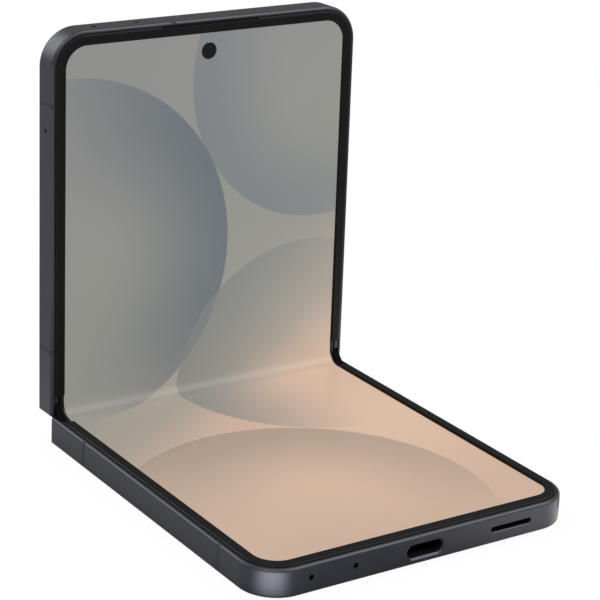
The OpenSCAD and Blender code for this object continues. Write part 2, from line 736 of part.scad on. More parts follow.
// Box in the spine that carries the pinions' shafts
module gear_box() color("#7f838a") on_spine() difference() {
    sweep_r = gear_arc_r + root + 0.38 + run;
    top = gear_w + pinion_r + tip + run;
    spine_bar(-gear_end, gear_end) {
        filled_section(pinion_r * 4 + 0.4, top);
        filled_section(spine_w / 2, wall_top - 0.1);
    }
    // Room for the pinions
    spine_bar(-mesh_w / 2, mesh_w / 2) for (y = gear_far) translate([y, gear_w])
        circle(pinion_r + tip + run);
    spine_bar(-mesh_w / 2, mesh_w / 2) translate([gear_far[3], gear_w])
        square([gear_far[0] - gear_far[3], spine_depth]);
    // Room for the arcs and their arms
    for (side = [-1, 1]) spine_bar(side * sync_x - sync_w / 2 - run, side * sync_x + sync_w / 2 + run) {
        translate([side * pivot, 0]) circle(sweep_r);
        translate([side > 0 ? 0 : -spine_w, arm_z0 + axis_depth - run - gap])
            square([spine_w, spine_depth]);
    }
    for (k = [0:3]) shaft_hole(k);
}

// Hole of a pinion's shaft: the outer pinions' shafts reach one end of the box
module shaft_hole(k) {
    from = k == 3 ? -gear_end - through : -mesh_w / 2 - wall_w;
    to = k == 0 ? gear_end + through : mesh_w / 2 + wall_w;
    translate([from, gear_far[k], gear_w]) rotate([0, 90, 0])
        cylinder(r = shaft_r + gap, h = to - from);
}

// ---------------------------------------------------------------- inside the lower half

coil_t = 0.35;
coil_z = floor_z + gap;
battery_y = arm_end + 1;

module main_battery() color("#2c2d31") on_lower()
    block([-room_x + 2.6, battery_y, coil_z + coil_t + gap],
          [room_x - 2.6, battery_y + battery_l, ceiling_z - gap]);

module charging_coil() color("#b87333") on_lower()
    translate([0, battery_y + battery_l / 2, coil_z]) difference() {
        cylinder(r = coil_r, h = coil_t);
        translate([0, 0, -through]) cylinder(r = coil_r / 2, h = coil_t + 2 * through);
    }

board_y = battery_y + battery_l + 1.5;
notch_x = usb_w / 2 + 0.8;

module charging_board() color("#1f5a3c") on_lower() difference() {
    block([-room_x + 1.5, board_y, board_z - board_t],
          [speaker_x - speaker_half - 0.4, room_end - 2, board_z]);
    block([-notch_x, room_end - usb_l - 0.6, board_z - 2 * board_t],
          [notch_x, room_end, board_z + board_t]);
}

shell_t = 0.3;

// Drawn metal shell of the socket, closed at the back
module socket_shell() color("#a9acb3") on_lower() translate([0, room_end - gap, port_z]) difference() {
    end_slot(usb_w + 2 * shell_t, usb_h + 2 * shell_t, usb_l);
    translate([0, through, 0]) end_slot(usb_w, usb_h, usb_l + through - shell_t);
}

module socket_tongue() color("#1a1a1c") on_lower() translate([0, room_end - gap, port_z]) {
    block([-3.34, -usb_l + shell_t, -0.35], [3.34, -2.2, 0.35]);
    block([-usb_w / 2 + 0.5, -usb_l + shell_t, -0.9], [usb_w / 2 - 0.5, -usb_l + shell_t + 1, 0.9]);
}

mesh_t = 0.3;

module mesh_seat() translate([speaker_x, room_end + mesh_t, speaker_z])
    end_slot(speaker_l + 1.2, speaker_h + 1.2, mesh_t + through);

module loudspeaker_mesh() color("#121214") on_lower() translate([speaker_x, room_end + mesh_t - gap, speaker_z])
    end_slot(speaker_l + 1, speaker_h + 1, mesh_t - gap);

speaker_mouth = 3;                          // depth of the loudspeaker's mouth

module loudspeaker() color("#232428") on_lower() difference() {
    translate([0, 0, coil_z + gap]) linear_extrude(ceiling_z - coil_z - 2 * gap) intersection() {
        half_outline(rail_w + gap, board_y + 1);
        translate([speaker_x - speaker_half, 0]) square([2 * speaker_half, half_l]);
    }
    translate([speaker_x, room_end + through, speaker_z])
        end_slot(speaker_l, speaker_h, speaker_mouth + through);
}

mic_d = 1.2;
mic_h = 2;

module microphones() for (x = [-mic_x, -mic_x + mic_gap])
    block([x - mic_l / 2, room_end - mic_d, mic_z - mic_h / 2],
          [x + mic_l / 2, room_end - gap, mic_z + mic_h / 2]);

module lower_microphones() color("#c8a951") on_lower() microphones();

motor_gap = 2.2;                            // from the board's edge to the motor

module vibration_motor() color("#7f838a") on_lower()
    translate([-half_w + motor_from_side, board_y + motor_w / 2 + motor_gap, coil_z])
        linear_extrude(board_z - board_t - gap - coil_z) stadium(motor_l, motor_w);

// ---------------------------------------------------------------- inside the upper half

room_z = panel_z + gap;                     // the room's floor over the cover display

module second_battery() color("#2c2d31") on_upper()
    block([-room_x + 2.6, battery_y, room_z], [room_x - 5, battery_y + battery2_l, ceiling_z - gap]);

main_y = battery_y + battery2_l + 1;
cam_half = 5.8;

module main_board() color("#1f5a3c") on_upper() {
    block([-room_x + 2.2, main_y, board_z - board_t],
          [room_x - 4.2, cam_y - cam_half - flash_r - 1.2, board_z]);
    block([-room_x + 2.2, main_y, board_z - board_t], [-7.5, room_end - 1.4, board_z]);
}

shield_t = 0.2;

shield_h = 1.3;
shield_side = 6;                            // from the room's side to the shield
reader_past = 0.8;                          // how far the card reader reaches past the tray
reader_end = -half_w + tray_depth + reader_past;
// The shield's other side, which stays clear of the card reader
shield_x = max(room_x - shield_side - shield_w, reader_end + run);

// Pressed cover over the chips, open towards the board
module board_shield() color("#b4b7bc") on_upper() {
    lo = [shield_x, main_y + 1, board_z - board_t - shield_h];
    hi = [room_x - shield_side, cam_y - cam_half - flash_r - 2.2, board_z - board_t - gap];
    difference() {
        block(lo, hi);
        block(lo + [shield_t, shield_t, shield_t], hi + [-shield_t, -shield_t, through]);
    }
}

lens_r = 1.6;
front_half = 2.8;                           // half width of the front camera's block
front_h = 2.6;
// How far that block stands aside, so that it clears the rear cameras
front_aside = max(0, front_half + run - (cam_x - cam_gap - cam_half));

module front_camera() color("#0c0c10") on_upper() translate([0, punch_y, 0]) {
    translate([0, 0, ceiling_z - gap]) cylinder(r = lens_r, h = -ceiling_z + gap - 0.1);
    translate([-front_aside, 0, 0])
        block([-front_half, -front_half, ceiling_z - front_h], [front_half, front_half, ceiling_z - gap]);
}

module rear_camera(i) translate([cam_x - i * cam_gap, cam_y, 0]) {
    block([-cam_half, -cam_half, room_z + 0.6], [cam_half, cam_half, ceiling_z - gap]);
    translate([0, 0, back_z + glass_t + 0.1]) cylinder(r = 4.2, h = room_z + 0.7 - back_z - glass_t - 0.1);
}

module wide_camera() color("#1b1c20") on_upper() rear_camera(0);
module ultrawide_camera() color("#1b1c20") on_upper() rear_camera(1);

ring_w = 1.5;

// Turned ring round each lens, with a ledge that holds the window
module camera_rings() color("#5b5e67") on_upper() camera_places()
    translate([0, 0, back_z - ring_h]) rotate_extrude() difference() {
        square([ring_r, ring_h + glass_t + panel_t]);
        translate([-1, -1]) square([ring_r - ring_w + 1, ring_h + 1 + 0.3]);
        translate([-1, -1]) square([ring_r - ring_w - 0.3 + 1, ring_h + glass_t + panel_t + 2]);
        polygon([[ring_r + 0.01, -0.01], [ring_r - 0.3, -0.01], [ring_r + 0.01, 0.3]]);
    }

module camera_windows() color("#0a0b0f") on_upper() camera_places()
    translate([0, 0, back_z - ring_h + 0.1]) cylinder(r = ring_r - ring_w - gap, h = ring_h + 0.2 - gap);

module flash_window() color("#e8e4d2") on_upper() flash_place()
    translate([0, 0, back_z]) cylinder(r = flash_r, h = glass_t + panel_t);

ear_in = rim_in - 0.1;
ear_w = 0.5;

// Slit between rim and bezel for the earpiece's sound, from z = from upwards
module ear_slit(from) translate([-ear_l / 2, end_y - ear_in - ear_w, from]) cube([ear_l, ear_w, body_t]);

earpiece_d = 2.1;

module earpiece() color("#232428") on_upper()
    block([-earpiece_l / 2, room_end - earpiece_d, ceiling_z - gap - earpiece_h],
          [earpiece_l / 2, room_end - gap, ceiling_z - gap]);

module earpiece_mesh() color("#0e0e10") on_upper()
    block([-ear_l / 2 + gap, end_y - ear_in - ear_w + gap, foot_z],
          [ear_l / 2 - gap, end_y - ear_in - gap, rim_z - gap]);

module upper_microphones() color("#c8a951") on_upper() microphones();

// ---------------------------------------------------------------- keys and card tray

flange_t = 0.45;

// Key with a rounded face, and a flange behind the rail that keeps it in
module key(l, out, clear) {
    depth = rail_w + out + clear;
    intersection() {
        side_slot(l, key_h, depth);
        translate([0, l, 0]) rotate([90, 0, 0]) linear_extrude(2 * l) rounded_face(depth, key_h);
        translate([0, 0, -key_h]) linear_extrude(2 * key_h) rounded_face(depth, l);
    }
    translate([-flange_t, 0, 0]) side_slot(l + 1.4, key_h + 0.9, flange_t);
}

// Section of a key, its two outer corners rounded
module rounded_face(depth, w) {
    translate([-gap, -w / 2]) square([depth - key_round + gap, w]);
    translate([-gap, -w / 2 + key_round]) square([depth + gap, w - 2 * key_round]);
    for (s = [-1, 1]) translate([depth - key_round, s * (w / 2 - key_round)]) circle(key_round);
}

volume_clear = 0.35;
side_clear = gap;

module volume_key() color("#44464e") on_upper()
    translate([room_x - volume_clear, volume_y, port_z]) key(volume_l, key_out, volume_clear);

module side_key() color("#3a3c44") on_upper()
    translate([room_x - side_clear, side_key_y, port_z]) key(side_key_l, -0.15, side_clear);

press = 0.25;
switch_t = 0.6;
switch_r = 1;
flex_t = 0.25;
flex_h = 2.6;
flex_over = 3;                              // how far the flexible board reaches past the side key

// Snap switches behind the keys, on the flexible board along the rail
module key_switches() color("#9fa2a8") on_upper() {
    key_back = room_x - volume_clear - flange_t - press - run;
    for (y = [volume_y - volume_l / 3, volume_y + volume_l / 3, side_key_y])
        translate([key_back - switch_t, y, port_z]) rotate([0, 90, 0]) cylinder(r = switch_r, h = switch_t);
    block([key_back - switch_t - flex_t, side_key_y - flex_over, port_z - flex_h / 2],
          [key_back - switch_t, volume_y + volume_l / 2 - switch_r, port_z + flex_h / 2]);
}

tray_in = 0.35;                             // how far the tray's body stays inside its slot
tray_w = tray_l - 2.2;
cage_h = tray_t / 2 + run + shield_t;       // half height of the card reader's cage
// How far the tray's body lies under its face's middle, so that the cage clears the board
card_drop = min((tray_h - tray_t) / 2, max(0, tray_z + cage_h - (board_z - board_t - gap)));

// Face with the pin hole, and a frame that holds the card
module card_tray() color("#44464e") on_upper() mirror([1, 0, 0]) translate([half_w, tray_y, tray_z])
    difference() {
        union() {
            translate([-rail_w + 0.3, 0, 0]) side_slot(tray_l, tray_h, rail_w - 0.3);
            block([-tray_depth, -tray_w / 2, -tray_t / 2 - card_drop],
                  [-rail_w + 0.4, tray_w / 2, tray_t / 2 - card_drop]);
        }
        block([-tray_depth + 1, -4.5, -tray_t / 2 + 0.3 - card_drop], [-rail_w - 1.8, 4.5, tray_t]);
        translate([-rail_w - 0.5, pin_y - tray_y, 0]) rotate([0, 90, 0])
            cylinder(r = 0.45, h = rail_w + 1);
    }

// Sheet-metal cage of the card reader, open towards the slot
module card_reader() color("#b4b7bc") on_upper() mirror([1, 0, 0])
        translate([room_x, tray_y, tray_z - card_drop]) {
    cage_w = tray_w / 2 + run + shield_t;
    x0 = -(tray_depth - rail_w) - reader_past;
    difference() {
        block([x0, -cage_w, -cage_h], [-0.4, cage_w, cage_h]);
        block([x0 + shield_t, -cage_w + shield_t, -cage_h + shield_t],
              [through, cage_w - shield_t, cage_h - shield_t]);
    }
}

// ---------------------------------------------------------------- drawing

lower_frame();
lower_rear_glass();
lower_bezel();
lower_display();
lower_antenna_breaks();
main_battery();
charging_coil();
charging_board();
socket_shell();
socket_tongue();
loudspeaker();
loudspeaker_mesh();
lower_microphones();
vibration_motor();
lower_hinge_arms();
lower_hinge_screws();
lower_gear_arm();
spine_cover();
hinge_end_caps();
hinge_blocks();
display_fold();
gear_box();
first_pinion();
second_pinion();
third_pinion();
fourth_pinion();
upper_frame();
cover_glass();
cover_display();
upper_bezel();
upper_display();
upper_antenna_breaks();
second_battery();
main_board();
board_shield();
front_camera();
wide_camera();
ultrawide_camera();
camera_rings();
camera_windows();
flash_window();
earpiece();
earpiece_mesh();
upper_microphones();
card_reader();
upper_hinge_arms();
upper_hinge_screws();
upper_gear_arm();
volume_key();
side_key();
key_switches();
card_tray();
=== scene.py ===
"""Looks of the folding phone that stands half open: display, finishes, studio and camera.

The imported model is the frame. This script gives each of its nodes a procedural material, makes the
lit display as three sheets that meet at the fold, adds the front camera's lens, and sets up a white
studio. Lengths are metres. Each half has axes of its own: x across, v away from its fold axis, and
z out of the display; PhoneLayout turns them into places in the frame.
"""

import json
import logging
import math
from dataclasses import dataclass
from enum import Enum
from typing import Any, Callable, Sequence

import bmesh
import bpy
import numpy as np
from mathutils import Matrix, Vector

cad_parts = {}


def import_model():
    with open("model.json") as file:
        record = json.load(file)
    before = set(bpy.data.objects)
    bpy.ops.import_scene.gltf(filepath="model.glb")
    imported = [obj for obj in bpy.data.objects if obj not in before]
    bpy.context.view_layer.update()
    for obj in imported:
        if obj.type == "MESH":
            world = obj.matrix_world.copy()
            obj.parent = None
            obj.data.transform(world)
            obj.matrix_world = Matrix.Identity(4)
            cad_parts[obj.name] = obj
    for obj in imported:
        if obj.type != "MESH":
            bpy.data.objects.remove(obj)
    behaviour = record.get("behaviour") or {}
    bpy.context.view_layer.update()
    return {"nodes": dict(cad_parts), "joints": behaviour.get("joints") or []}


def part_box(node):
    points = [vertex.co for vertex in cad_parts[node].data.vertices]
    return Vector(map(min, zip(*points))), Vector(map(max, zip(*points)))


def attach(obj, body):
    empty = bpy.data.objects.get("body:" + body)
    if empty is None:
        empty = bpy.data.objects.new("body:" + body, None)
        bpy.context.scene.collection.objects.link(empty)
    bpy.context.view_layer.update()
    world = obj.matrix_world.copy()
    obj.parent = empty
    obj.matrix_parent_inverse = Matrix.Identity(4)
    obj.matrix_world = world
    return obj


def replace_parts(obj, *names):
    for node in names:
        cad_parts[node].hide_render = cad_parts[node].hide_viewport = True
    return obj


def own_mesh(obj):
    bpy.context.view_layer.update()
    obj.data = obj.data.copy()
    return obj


logging.basicConfig(level=logging.INFO, format="%(message)s")
LOG = logging.getLogger("scene")

MM = 0.001

Colour = tuple[float, float, float]
Socket = bpy.types.NodeSocket


def srgb(red: float, green: float, blue: float) -> Colour:
    """Linear colour of an sRGB colour.

    Args:
        red: Its red, from 0 to 255.
        green: Its green.
        blue: Its blue.

    Returns:
        The same colour, each channel from 0 to 1 and linear.
    """
    def linear(value: float) -> float:
        """Linear value of one channel, by the sRGB curve."""
        share = value / 255
        return share / 12.92 if share <= 0.04045 else ((share + 0.055) / 1.055) ** 2.4

    return linear(red), linear(green), linear(blue)


# ---------------------------------------------------------------- layout and meshes


class Half(Enum):
    """The two halves, named as their bodies."""

    LOWER = "lower"
    UPPER = "upper"


@dataclass(frozen=True)
class PhoneLayout:
    """Places and sizes of the display and the fold, in metres.

    Attributes:
        pivots: A point on each half's fold axis, in the middle of the phone.
        depth: Depth of the fold axes under the display's surface.
        half_width: Half the width of the straight display sheets.
        bend_half_width: Half the width of the bent one.
        end: Distance of the display's outer edge from the fold axis.
        thickness: Thickness of the display.
        turn: Angle between each half and the spine at rest, in radians.
        punch: Distance of the front camera's middle from the upper fold axis.
    """

    pivots: dict[Half, Vector]
    depth: float
    half_width: float
    bend_half_width: float
    end: float
    thickness: float
    turn: float
    punch: float

    @classmethod
    def from_frame(cls, joints: Sequence[dict]) -> "PhoneLayout":
        """Reads the layout from the frame's joints and nodes.

        Args:
            joints: The frame's joints, of which the two folds give the axes.

        Returns:
            The layout.
        """
        places = {joint["name"]: Vector(joint["pos_m"]) for joint in joints if "pos_m" in joint}
        lower, upper = places["fold_lower"], places["fold_upper"]
        across = upper - lower
        turn = math.atan2(across.z, across.y)
        low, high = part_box("lower_display")
        bend_low, bend_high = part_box("display_fold")
        camera_low, camera_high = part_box("front_camera")
        along = Vector((0, math.cos(2 * turn), math.sin(2 * turn)))
        return cls(
            pivots={Half.LOWER: lower, Half.UPPER: upper},
            depth=high.z - lower.z,
            half_width=(high.x - low.x) / 2,
            bend_half_width=(bend_high.x - bend_low.x) / 2,
            end=lower.y - low.y,
            thickness=high.z - low.z,
            turn=turn,
            punch=((camera_low + camera_high) / 2 - upper).dot(along),
        )

    @property
    def half_gap(self) -> float:
        """Half the distance between the two fold axes."""
        return (self.pivots[Half.UPPER] - self.pivots[Half.LOWER]).length / 2

    @property
    def crease_back(self) -> float:
        """Distance along the display from a fold axis to the line where the two surfaces meet."""
        return (self.half_gap - self.depth * math.sin(self.turn)) / math.cos(self.turn)

    @property
    def crease(self) -> Vector:
        """Middle of the line where the two display surfaces meet."""
        return Vector(self.place(Half.LOWER, np.array([(0.0, -self.crease_back, 0.0)]))[0])

    def axes(self, half: Half) -> tuple[Vector, Vector]:
        """Directions of v, away from the fold, and of z, out of the display.

        Args:
            half: The half that they belong to.

        Returns:
            Both directions.
        """
        if half is Half.LOWER:
            return Vector((0, -1, 0)), Vector((0, 0, 1))
        angle = 2 * self.turn
        return (Vector((0, math.cos(angle), math.sin(angle))),
                Vector((0, -math.sin(angle), math.cos(angle))))

    def spine_axes(self) -> tuple[Vector, Vector, Vector]:
        """Where the spine is at rest.

        Returns:
            Its middle, the direction to the upper half, and the one out of the display.
        """
        middle = (self.pivots[Half.LOWER] + self.pivots[Half.UPPER]) / 2
        along = Vector((0, math.cos(self.turn), math.sin(self.turn)))
        out = Vector((0, -math.sin(self.turn), math.cos(self.turn)))
        return middle, along, out

    def place(self, half: Half, local: np.ndarray) -> np.ndarray:
        """Turns places of one half into places in the frame.

        Args:
            half: The half whose axes they are given in.
            local: Rows of x, v and z.

        Returns:
            Rows of frame coordinates.
        """
        along, out = self.axes(half)
        axes = np.array([(1.0, 0.0, 0.0), tuple(along), tuple(out)])
        return np.array(self.pivots[half] + out * self.depth) + local @ axes

    def height(self, half: Half, v: np.ndarray) -> np.ndarray:
        """Height above the picture's middle, measured over the display, at v of one half."""
        return (self.crease_back + v) * (1 if half is Half.UPPER else -1)


class MeshBuilder:
    """Collects rows of points and the faces between them, and makes one object of them."""

    def __init__(self, name: str) -> None:
        """Starts an empty mesh.

        Args:
            name: Name of the piece.
        """
        self.name = name
        self.points: list[np.ndarray] = []
        self.picture: list[np.ndarray] = []
        self.faces: list[list[int]] = []
        self.count = 0

    def row(self, points: np.ndarray, picture: np.ndarray | None = None) -> np.ndarray:
        """Adds a row of points.

        Args:
            points: Their places in the frame.
            picture: Their places in the picture, or None where the piece shows none.

        Returns:
            The points' numbers.
        """
        first = self.count
        self.points.append(points)
        self.picture.append(np.zeros((len(points), 2)) if picture is None else picture)
        self.count += len(points)
        return np.arange(first, self.count)

    def join(self, one: np.ndarray, two: np.ndarray, closed: bool = True) -> None:
        """Joins two rows of the same length with quads, round to their start where closed."""
        quads = np.column_stack((one, np.roll(one, -1), np.roll(two, -1), two)).tolist()
        self.faces += quads if closed else quads[:-1]

    def cap(self, ring: Sequence[int]) -> None:
        """Closes a ring with one face."""
        self.faces.append([int(number) for number in ring])

    def make(self, smooth_deg: float | None = None) -> bpy.types.Object:
        """Makes the object, its faces turned outwards, with a UV map named picture.

        Args:
            smooth_deg: Angle up to which its edges are shaded smooth, or None for flat faces.

        Returns:
            The object.
        """
        mesh = bpy.data.meshes.new(self.name)
        mesh.from_pydata(np.concatenate(self.points).tolist(), [], self.faces)
        corners = np.zeros(len(mesh.loops), dtype=np.int32)
        mesh.loops.foreach_get("vertex_index", corners)
        picture = np.concatenate(self.picture)[corners]
        mesh.uv_layers.new(name="picture").data.foreach_set("uv", picture.ravel())
        work = bmesh.new()
        work.from_mesh(mesh)
        bmesh.ops.recalc_face_normals(work, faces=work.faces)
        work.to_mesh(mesh)
        work.free()
        if smooth_deg is not None:
            mesh.shade_smooth()
            mesh.set_sharp_from_angle(angle=math.radians(smooth_deg))
        thing = bpy.data.objects.new(self.name, mesh)
        bpy.context.scene.collection.objects.link(thing)
        return thing


# ---------------------------------------------------------------- node trees


class Writer:
    """Writes the nodes and links of one node tree."""

    def __init__(self, tree: bpy.types.NodeTree) -> None:
        """Writes into the given tree."""
        self.tree = tree

    def add(self, kind: str, values: dict[str | int, Any] | None = None, **settings: Any) -> bpy.types.Node:
        """Adds a node.

        Args:
            kind: The node's type name, without its ShaderNode prefix.
            values: What each input takes: another node's socket or a constant.
            **settings: Properties of the node.

        Returns:
            The node.
        """
        node = self.tree.nodes.new("ShaderNode" + kind)
        for name, value in settings.items():
            setattr(node, name, value)
        for name, value in (values or {}).items():
            self.feed(node.inputs[name], value)
        return node

    def feed(self, socket: Socket, value: Any) -> None:
        """Links a socket to an input or sets the input to a constant.

        Args:
            socket: The input.
            value: A socket, or a constant of the input's kind.
        """
        if isinstance(value, Socket):
            self.tree.links.new(value, socket)
        elif socket.type == "RGBA":
            socket.default_value = (*value[:3], 1.0)
        else:
            socket.default_value = value

    def math(self, operation: str, *values: Any, clamp: bool = False) -> Socket:
        """Adds a Math node."""
        node = self.add("Math", dict(enumerate(values)), operation=operation, use_clamp=clamp)
        return node.outputs[0]

    def vector(self, operation: str, *values: Any, output: str = "Vector") -> Socket:
        """Adds a Vector Math node."""
        node = self.add("VectorMath", dict(enumerate(values)), operation=operation)
        return node.outputs[output]

    def times(self, vector: Any, factor: Any) -> Socket:
        """A vector times a number."""
        node = self.add("VectorMath", {0: vector, "Scale": factor}, operation="SCALE")
        return node.outputs["Vector"]

    def scaled(self, vector: Socket, size: Any) -> Socket:
        """A vector divided by a size in metres."""
        return self.times(vector, self.math("DIVIDE", 1.0, size) if isinstance(size, Socket) else 1 / size)

    def distance(self, one: Any, two: Any) -> Socket:
        """Distance between two places."""
        return self.vector("LENGTH", self.vector("SUBTRACT", one, two), output="Value")

    def dot(self, one: Any, two: Any) -> Socket:
        """Dot product of two vectors."""
        return self.vector("DOT_PRODUCT", one, two, output="Value")

    def object_place(self) -> Socket:
        """Place on the piece, in the frame."""
        return self.add("TexCoord").outputs["Object"]

    def noise(self, vector: Socket, detail: float = 2.0, rough: float = 0.5) -> Socket:
        """Noise of unit size over a vector, from 0 to 1."""
        values = {"Vector": vector, "Scale": 1.0, "Detail": detail, "Roughness": rough}
        return self.add("TexNoise", values).outputs["Fac"]

    def between(self, value: Any, low: Any, high: Any) -> Socket:
        """0 where value is at low, 1 at high, and in between a soft ramp."""
        values = {"Value": value, "From Min": low, "From Max": high}
        return self.add("MapRange", values, interpolation_type="SMOOTHSTEP").outputs["Result"]

    def mix(self, share: Any, one: Any, two: Any) -> Socket:
        """Mixes two colours.

        Args:
            share: Share of the second colour.
            one: The first colour or its socket.
            two: The second colour or its socket.

        Returns:
            The mixed colour.
        """
        node = self.tree.nodes.new("ShaderNodeMix")
        node.data_type = "RGBA"
        for place, value in ((0, share), (6, one), (7, two)):
            self.feed(node.inputs[place], value)
        return node.outputs[2]

    def group(self, tree: bpy.types.NodeTree, **values: Any) -> bpy.types.Node:
        """Adds a group node.

        Args:
            tree: The group.
            **values: What each input takes, by its name in small letters.

        Returns:
            The node.
        """
        node = self.tree.nodes.new("ShaderNodeGroup")
        node.node_tree = tree
        for name, value in values.items():
            self.feed(node.inputs[name.capitalize()], value)
        return node


class GroupMaker:
    """Makes each named node group once and hands it out again."""

    def __init__(self) -> None:
        """Starts with no groups."""
        self.made: dict[str, bpy.types.NodeTree] = {}

    def get(
        self,
        name: str,
        inputs: dict[str, str],
        outputs: dict[str, str],
        build: Callable[[Writer, bpy.types.Node], dict[str, Socket]],
    ) -> bpy.types.NodeTree:
        """Returns the group, made by build when it is first asked for.

        Args:
            name: The group's name.
            inputs: Socket type of each named input.
            outputs: Socket type of each named output.
            build: Writes the group's nodes and returns what each output gives.

        Returns:
            The node group.
        """
        if name in self.made:
            return self.made[name]
        tree = bpy.data.node_groups.new(name, "ShaderNodeTree")
        for direction, sockets in (("INPUT", inputs), ("OUTPUT", outputs)):
            for label, kind in sockets.items():
                tree.interface.new_socket(label, in_out=direction, socket_type="NodeSocket" + kind)
        writer = Writer(tree)
        start = tree.nodes.new("NodeGroupInput")
        end = tree.nodes.new("NodeGroupOutput")
        for label, socket in build(writer, start).items():
            tree.links.new(socket, end.inputs[label])
        self.made[name] = tree
        return tree


GROUPS = GroupMaker()

CLOUD_SIZE = 14 * MM
WORN_BEND = (0.02, 0.2)
WORN_CLOUD = (0.3, 0.7)


def surface_group() -> bpy.types.NodeTree:
    """Group for finished surfaces: fine grain, slow clouds, worn edges and the normal.

    Returns:
        The group.
    """
    def build(w: Writer, start: bpy.types.Node) -> dict[str, Socket]:
        """Writes the group: edges wear where the bevelled normal leaves the flat one, in clouds.

        Args:
            w: Writes into the group.
            start: The group's input node.

        Returns:
            What each output gives.
        """
        place = w.object_place()
        grain = w.noise(w.scaled(place, start.outputs["Grain"]), detail=3.0, rough=0.6)
        cloud = w.noise(w.scaled(place, CLOUD_SIZE), detail=4.0, rough=0.55)
        bevel = w.add("Bevel", {"Radius": start.outputs["Edge"]}, samples=6).outputs["Normal"]
        flat = w.add("NewGeometry").outputs["True Normal"]
        bend = w.math("SUBTRACT", 1.0, w.dot(bevel, flat))
        worn = w.math("MULTIPLY", w.between(bend, *WORN_BEND), w.between(cloud, *WORN_CLOUD))
        values = {"Strength": 1.0, "Distance": start.outputs["Depth"], "Height": grain, "Normal": bevel}
        normal = w.add("Bump", values).outputs["Normal"]
        return {"Normal": normal, "Grain": grain, "Cloud": cloud, "Worn": worn}

    sizes = dict.fromkeys(("Grain", "Depth", "Edge"), "Float")
    gives = {"Normal": "Vector", "Grain": "Float", "Cloud": "Float", "Worn": "Float"}
    return GROUPS.get("surface", sizes, gives, build)


@dataclass(frozen=True)
class Finish:
    """A rigid surface's finish.

    Attributes:
        name: Its material's name.
        colour: Base colour.
        metallic: 0 for plastics and coatings, 1 for bare metal.
        roughness: Mean roughness.
        grain: Size of the surface's grain, in metres.
        depth: Depth of the grain, in metres.
        edge: Radius that rounds the sharp edges' shading, in metres.
        worn: Colour of rubbed edges, or None where nothing wears.
        variation: How much the colour varies slowly over the surface.
        coat: Weight of a clear coat.
        specular: Strength of the dielectric reflection.
    """

    name: str
    colour: Colour
    metallic: float = 0.0
    roughness: float = 0.5
    grain: float = 0.12 * MM
    depth: float = 0.002 * MM
    edge: float = 0.08 * MM
    worn: Colour | None = None
    variation: float = 0.08
    coat: float = 0.0
    specular: float = 0.5


Pattern = Callable[[Writer, Socket], Socket]

CLOUD_COLOUR = (0.25, 0.75)
GRAIN_SPREAD = 0.12
CLOUD_SPREAD = 0.10
COAT_ROUGHNESS = 0.08


class Materials:
    """Makes the procedural materials, each once."""

    def __init__(self) -> None:
        """Starts with no materials."""
        self.made: dict[str, bpy.types.Material] = {}

    def start(self, name: str) -> tuple[bpy.types.Material, Writer, bpy.types.Node]:
        """Starts a new material.

        Args:
            name: Its name.

        Returns:
            The material, the writer of its tree, and its Principled shader.
        """
        material = bpy.data.materials.new(name)
        material.use_nodes = True
        material.node_tree.nodes.clear()
        writer = Writer(material.node_tree)
        shader = writer.add("BsdfPrincipled")
        writer.add("OutputMaterial", {"Surface": shader.outputs["BSDF"]})
        self.made[name] = material
        return material, writer, shader

    def finish(self, finish: Finish, pattern: Pattern | None = None, use: str = "") -> bpy.types.Material:
        """A rigid surface with grain, slow variation, softened and worn edges.

        Args:
            finish: What the surface is like.
            pattern: Writes a colour over the base colour, given the writer and the base colour.
            use: Added to the material's name, where it has a pattern of its own.

        Returns:
            The material.
        """
        name = f"{finish.name}_{use}" if use else finish.name
        if name in self.made:
            return self.made[name]
        material, w, shader = self.start(name)
        surface = w.group(surface_group(), grain=finish.grain, depth=finish.depth, edge=finish.edge)
        cloud, grain = surface.outputs["Cloud"], surface.outputs["Grain"]
        dark, light = (
            tuple(channel * share for channel in finish.colour)
            for share in (1 - finish.variation, 1 + finish.variation)
        )
        colour = w.mix(w.between(cloud, *CLOUD_COLOUR), dark, light)
        if pattern:
            colour = pattern(w, colour)
        if finish.worn:
            colour = w.mix(surface.outputs["Worn"], colour, finish.worn)
        spread = w.math("MULTIPLY_ADD", w.math("SUBTRACT", grain, 0.5), GRAIN_SPREAD, finish.roughness)
        rough = w.math("MULTIPLY_ADD", w.math("SUBTRACT", cloud, 0.5), CLOUD_SPREAD, spread, clamp=True)
        for label, value in (
            ("Base Color", colour), ("Metallic", finish.metallic), ("Roughness", rough),
            ("Normal", surface.outputs["Normal"]), ("Coat Weight", finish.coat),
            ("Coat Roughness", COAT_ROUGHNESS), ("Specular IOR Level", finish.specular),
        ):
            w.feed(shader.inputs[label], value)
        return material


MATERIALS = Materials()


# ---------------------------------------------------------------- the display's picture


@dataclass(frozen=True)
class Disc:
    """One big translucent disc of the picture, shaded towards one side of its rim.

    Attributes:
        centre: Middle, in metres across and above the picture's middle.
        radius: Radius in metres.
        depth: How far the shade reaches in from the rim, in metres.
        towards: Direction of the darkest part of the rim, in degrees.
        colour: Colour of the shade.
        strength: Share of the shade at its darkest.
    """

    centre: tuple[float, float]
    radius: float
    depth: float
    towards: float
    colour: Colour
    strength: float


GROUND_STOPS: tuple[tuple[float, Colour], ...] = (
    (-92 * MM, srgb(207, 177, 155)),
    (-50 * MM, srgb(221, 189, 165)),
    (-20 * MM, srgb(211, 181, 159)),
    (2 * MM, srgb(170, 161, 148)),
    (26 * MM, srgb(150, 150, 143)),
    (80 * MM, srgb(147, 147, 146)),
)
GROUND_TILT = -0.6

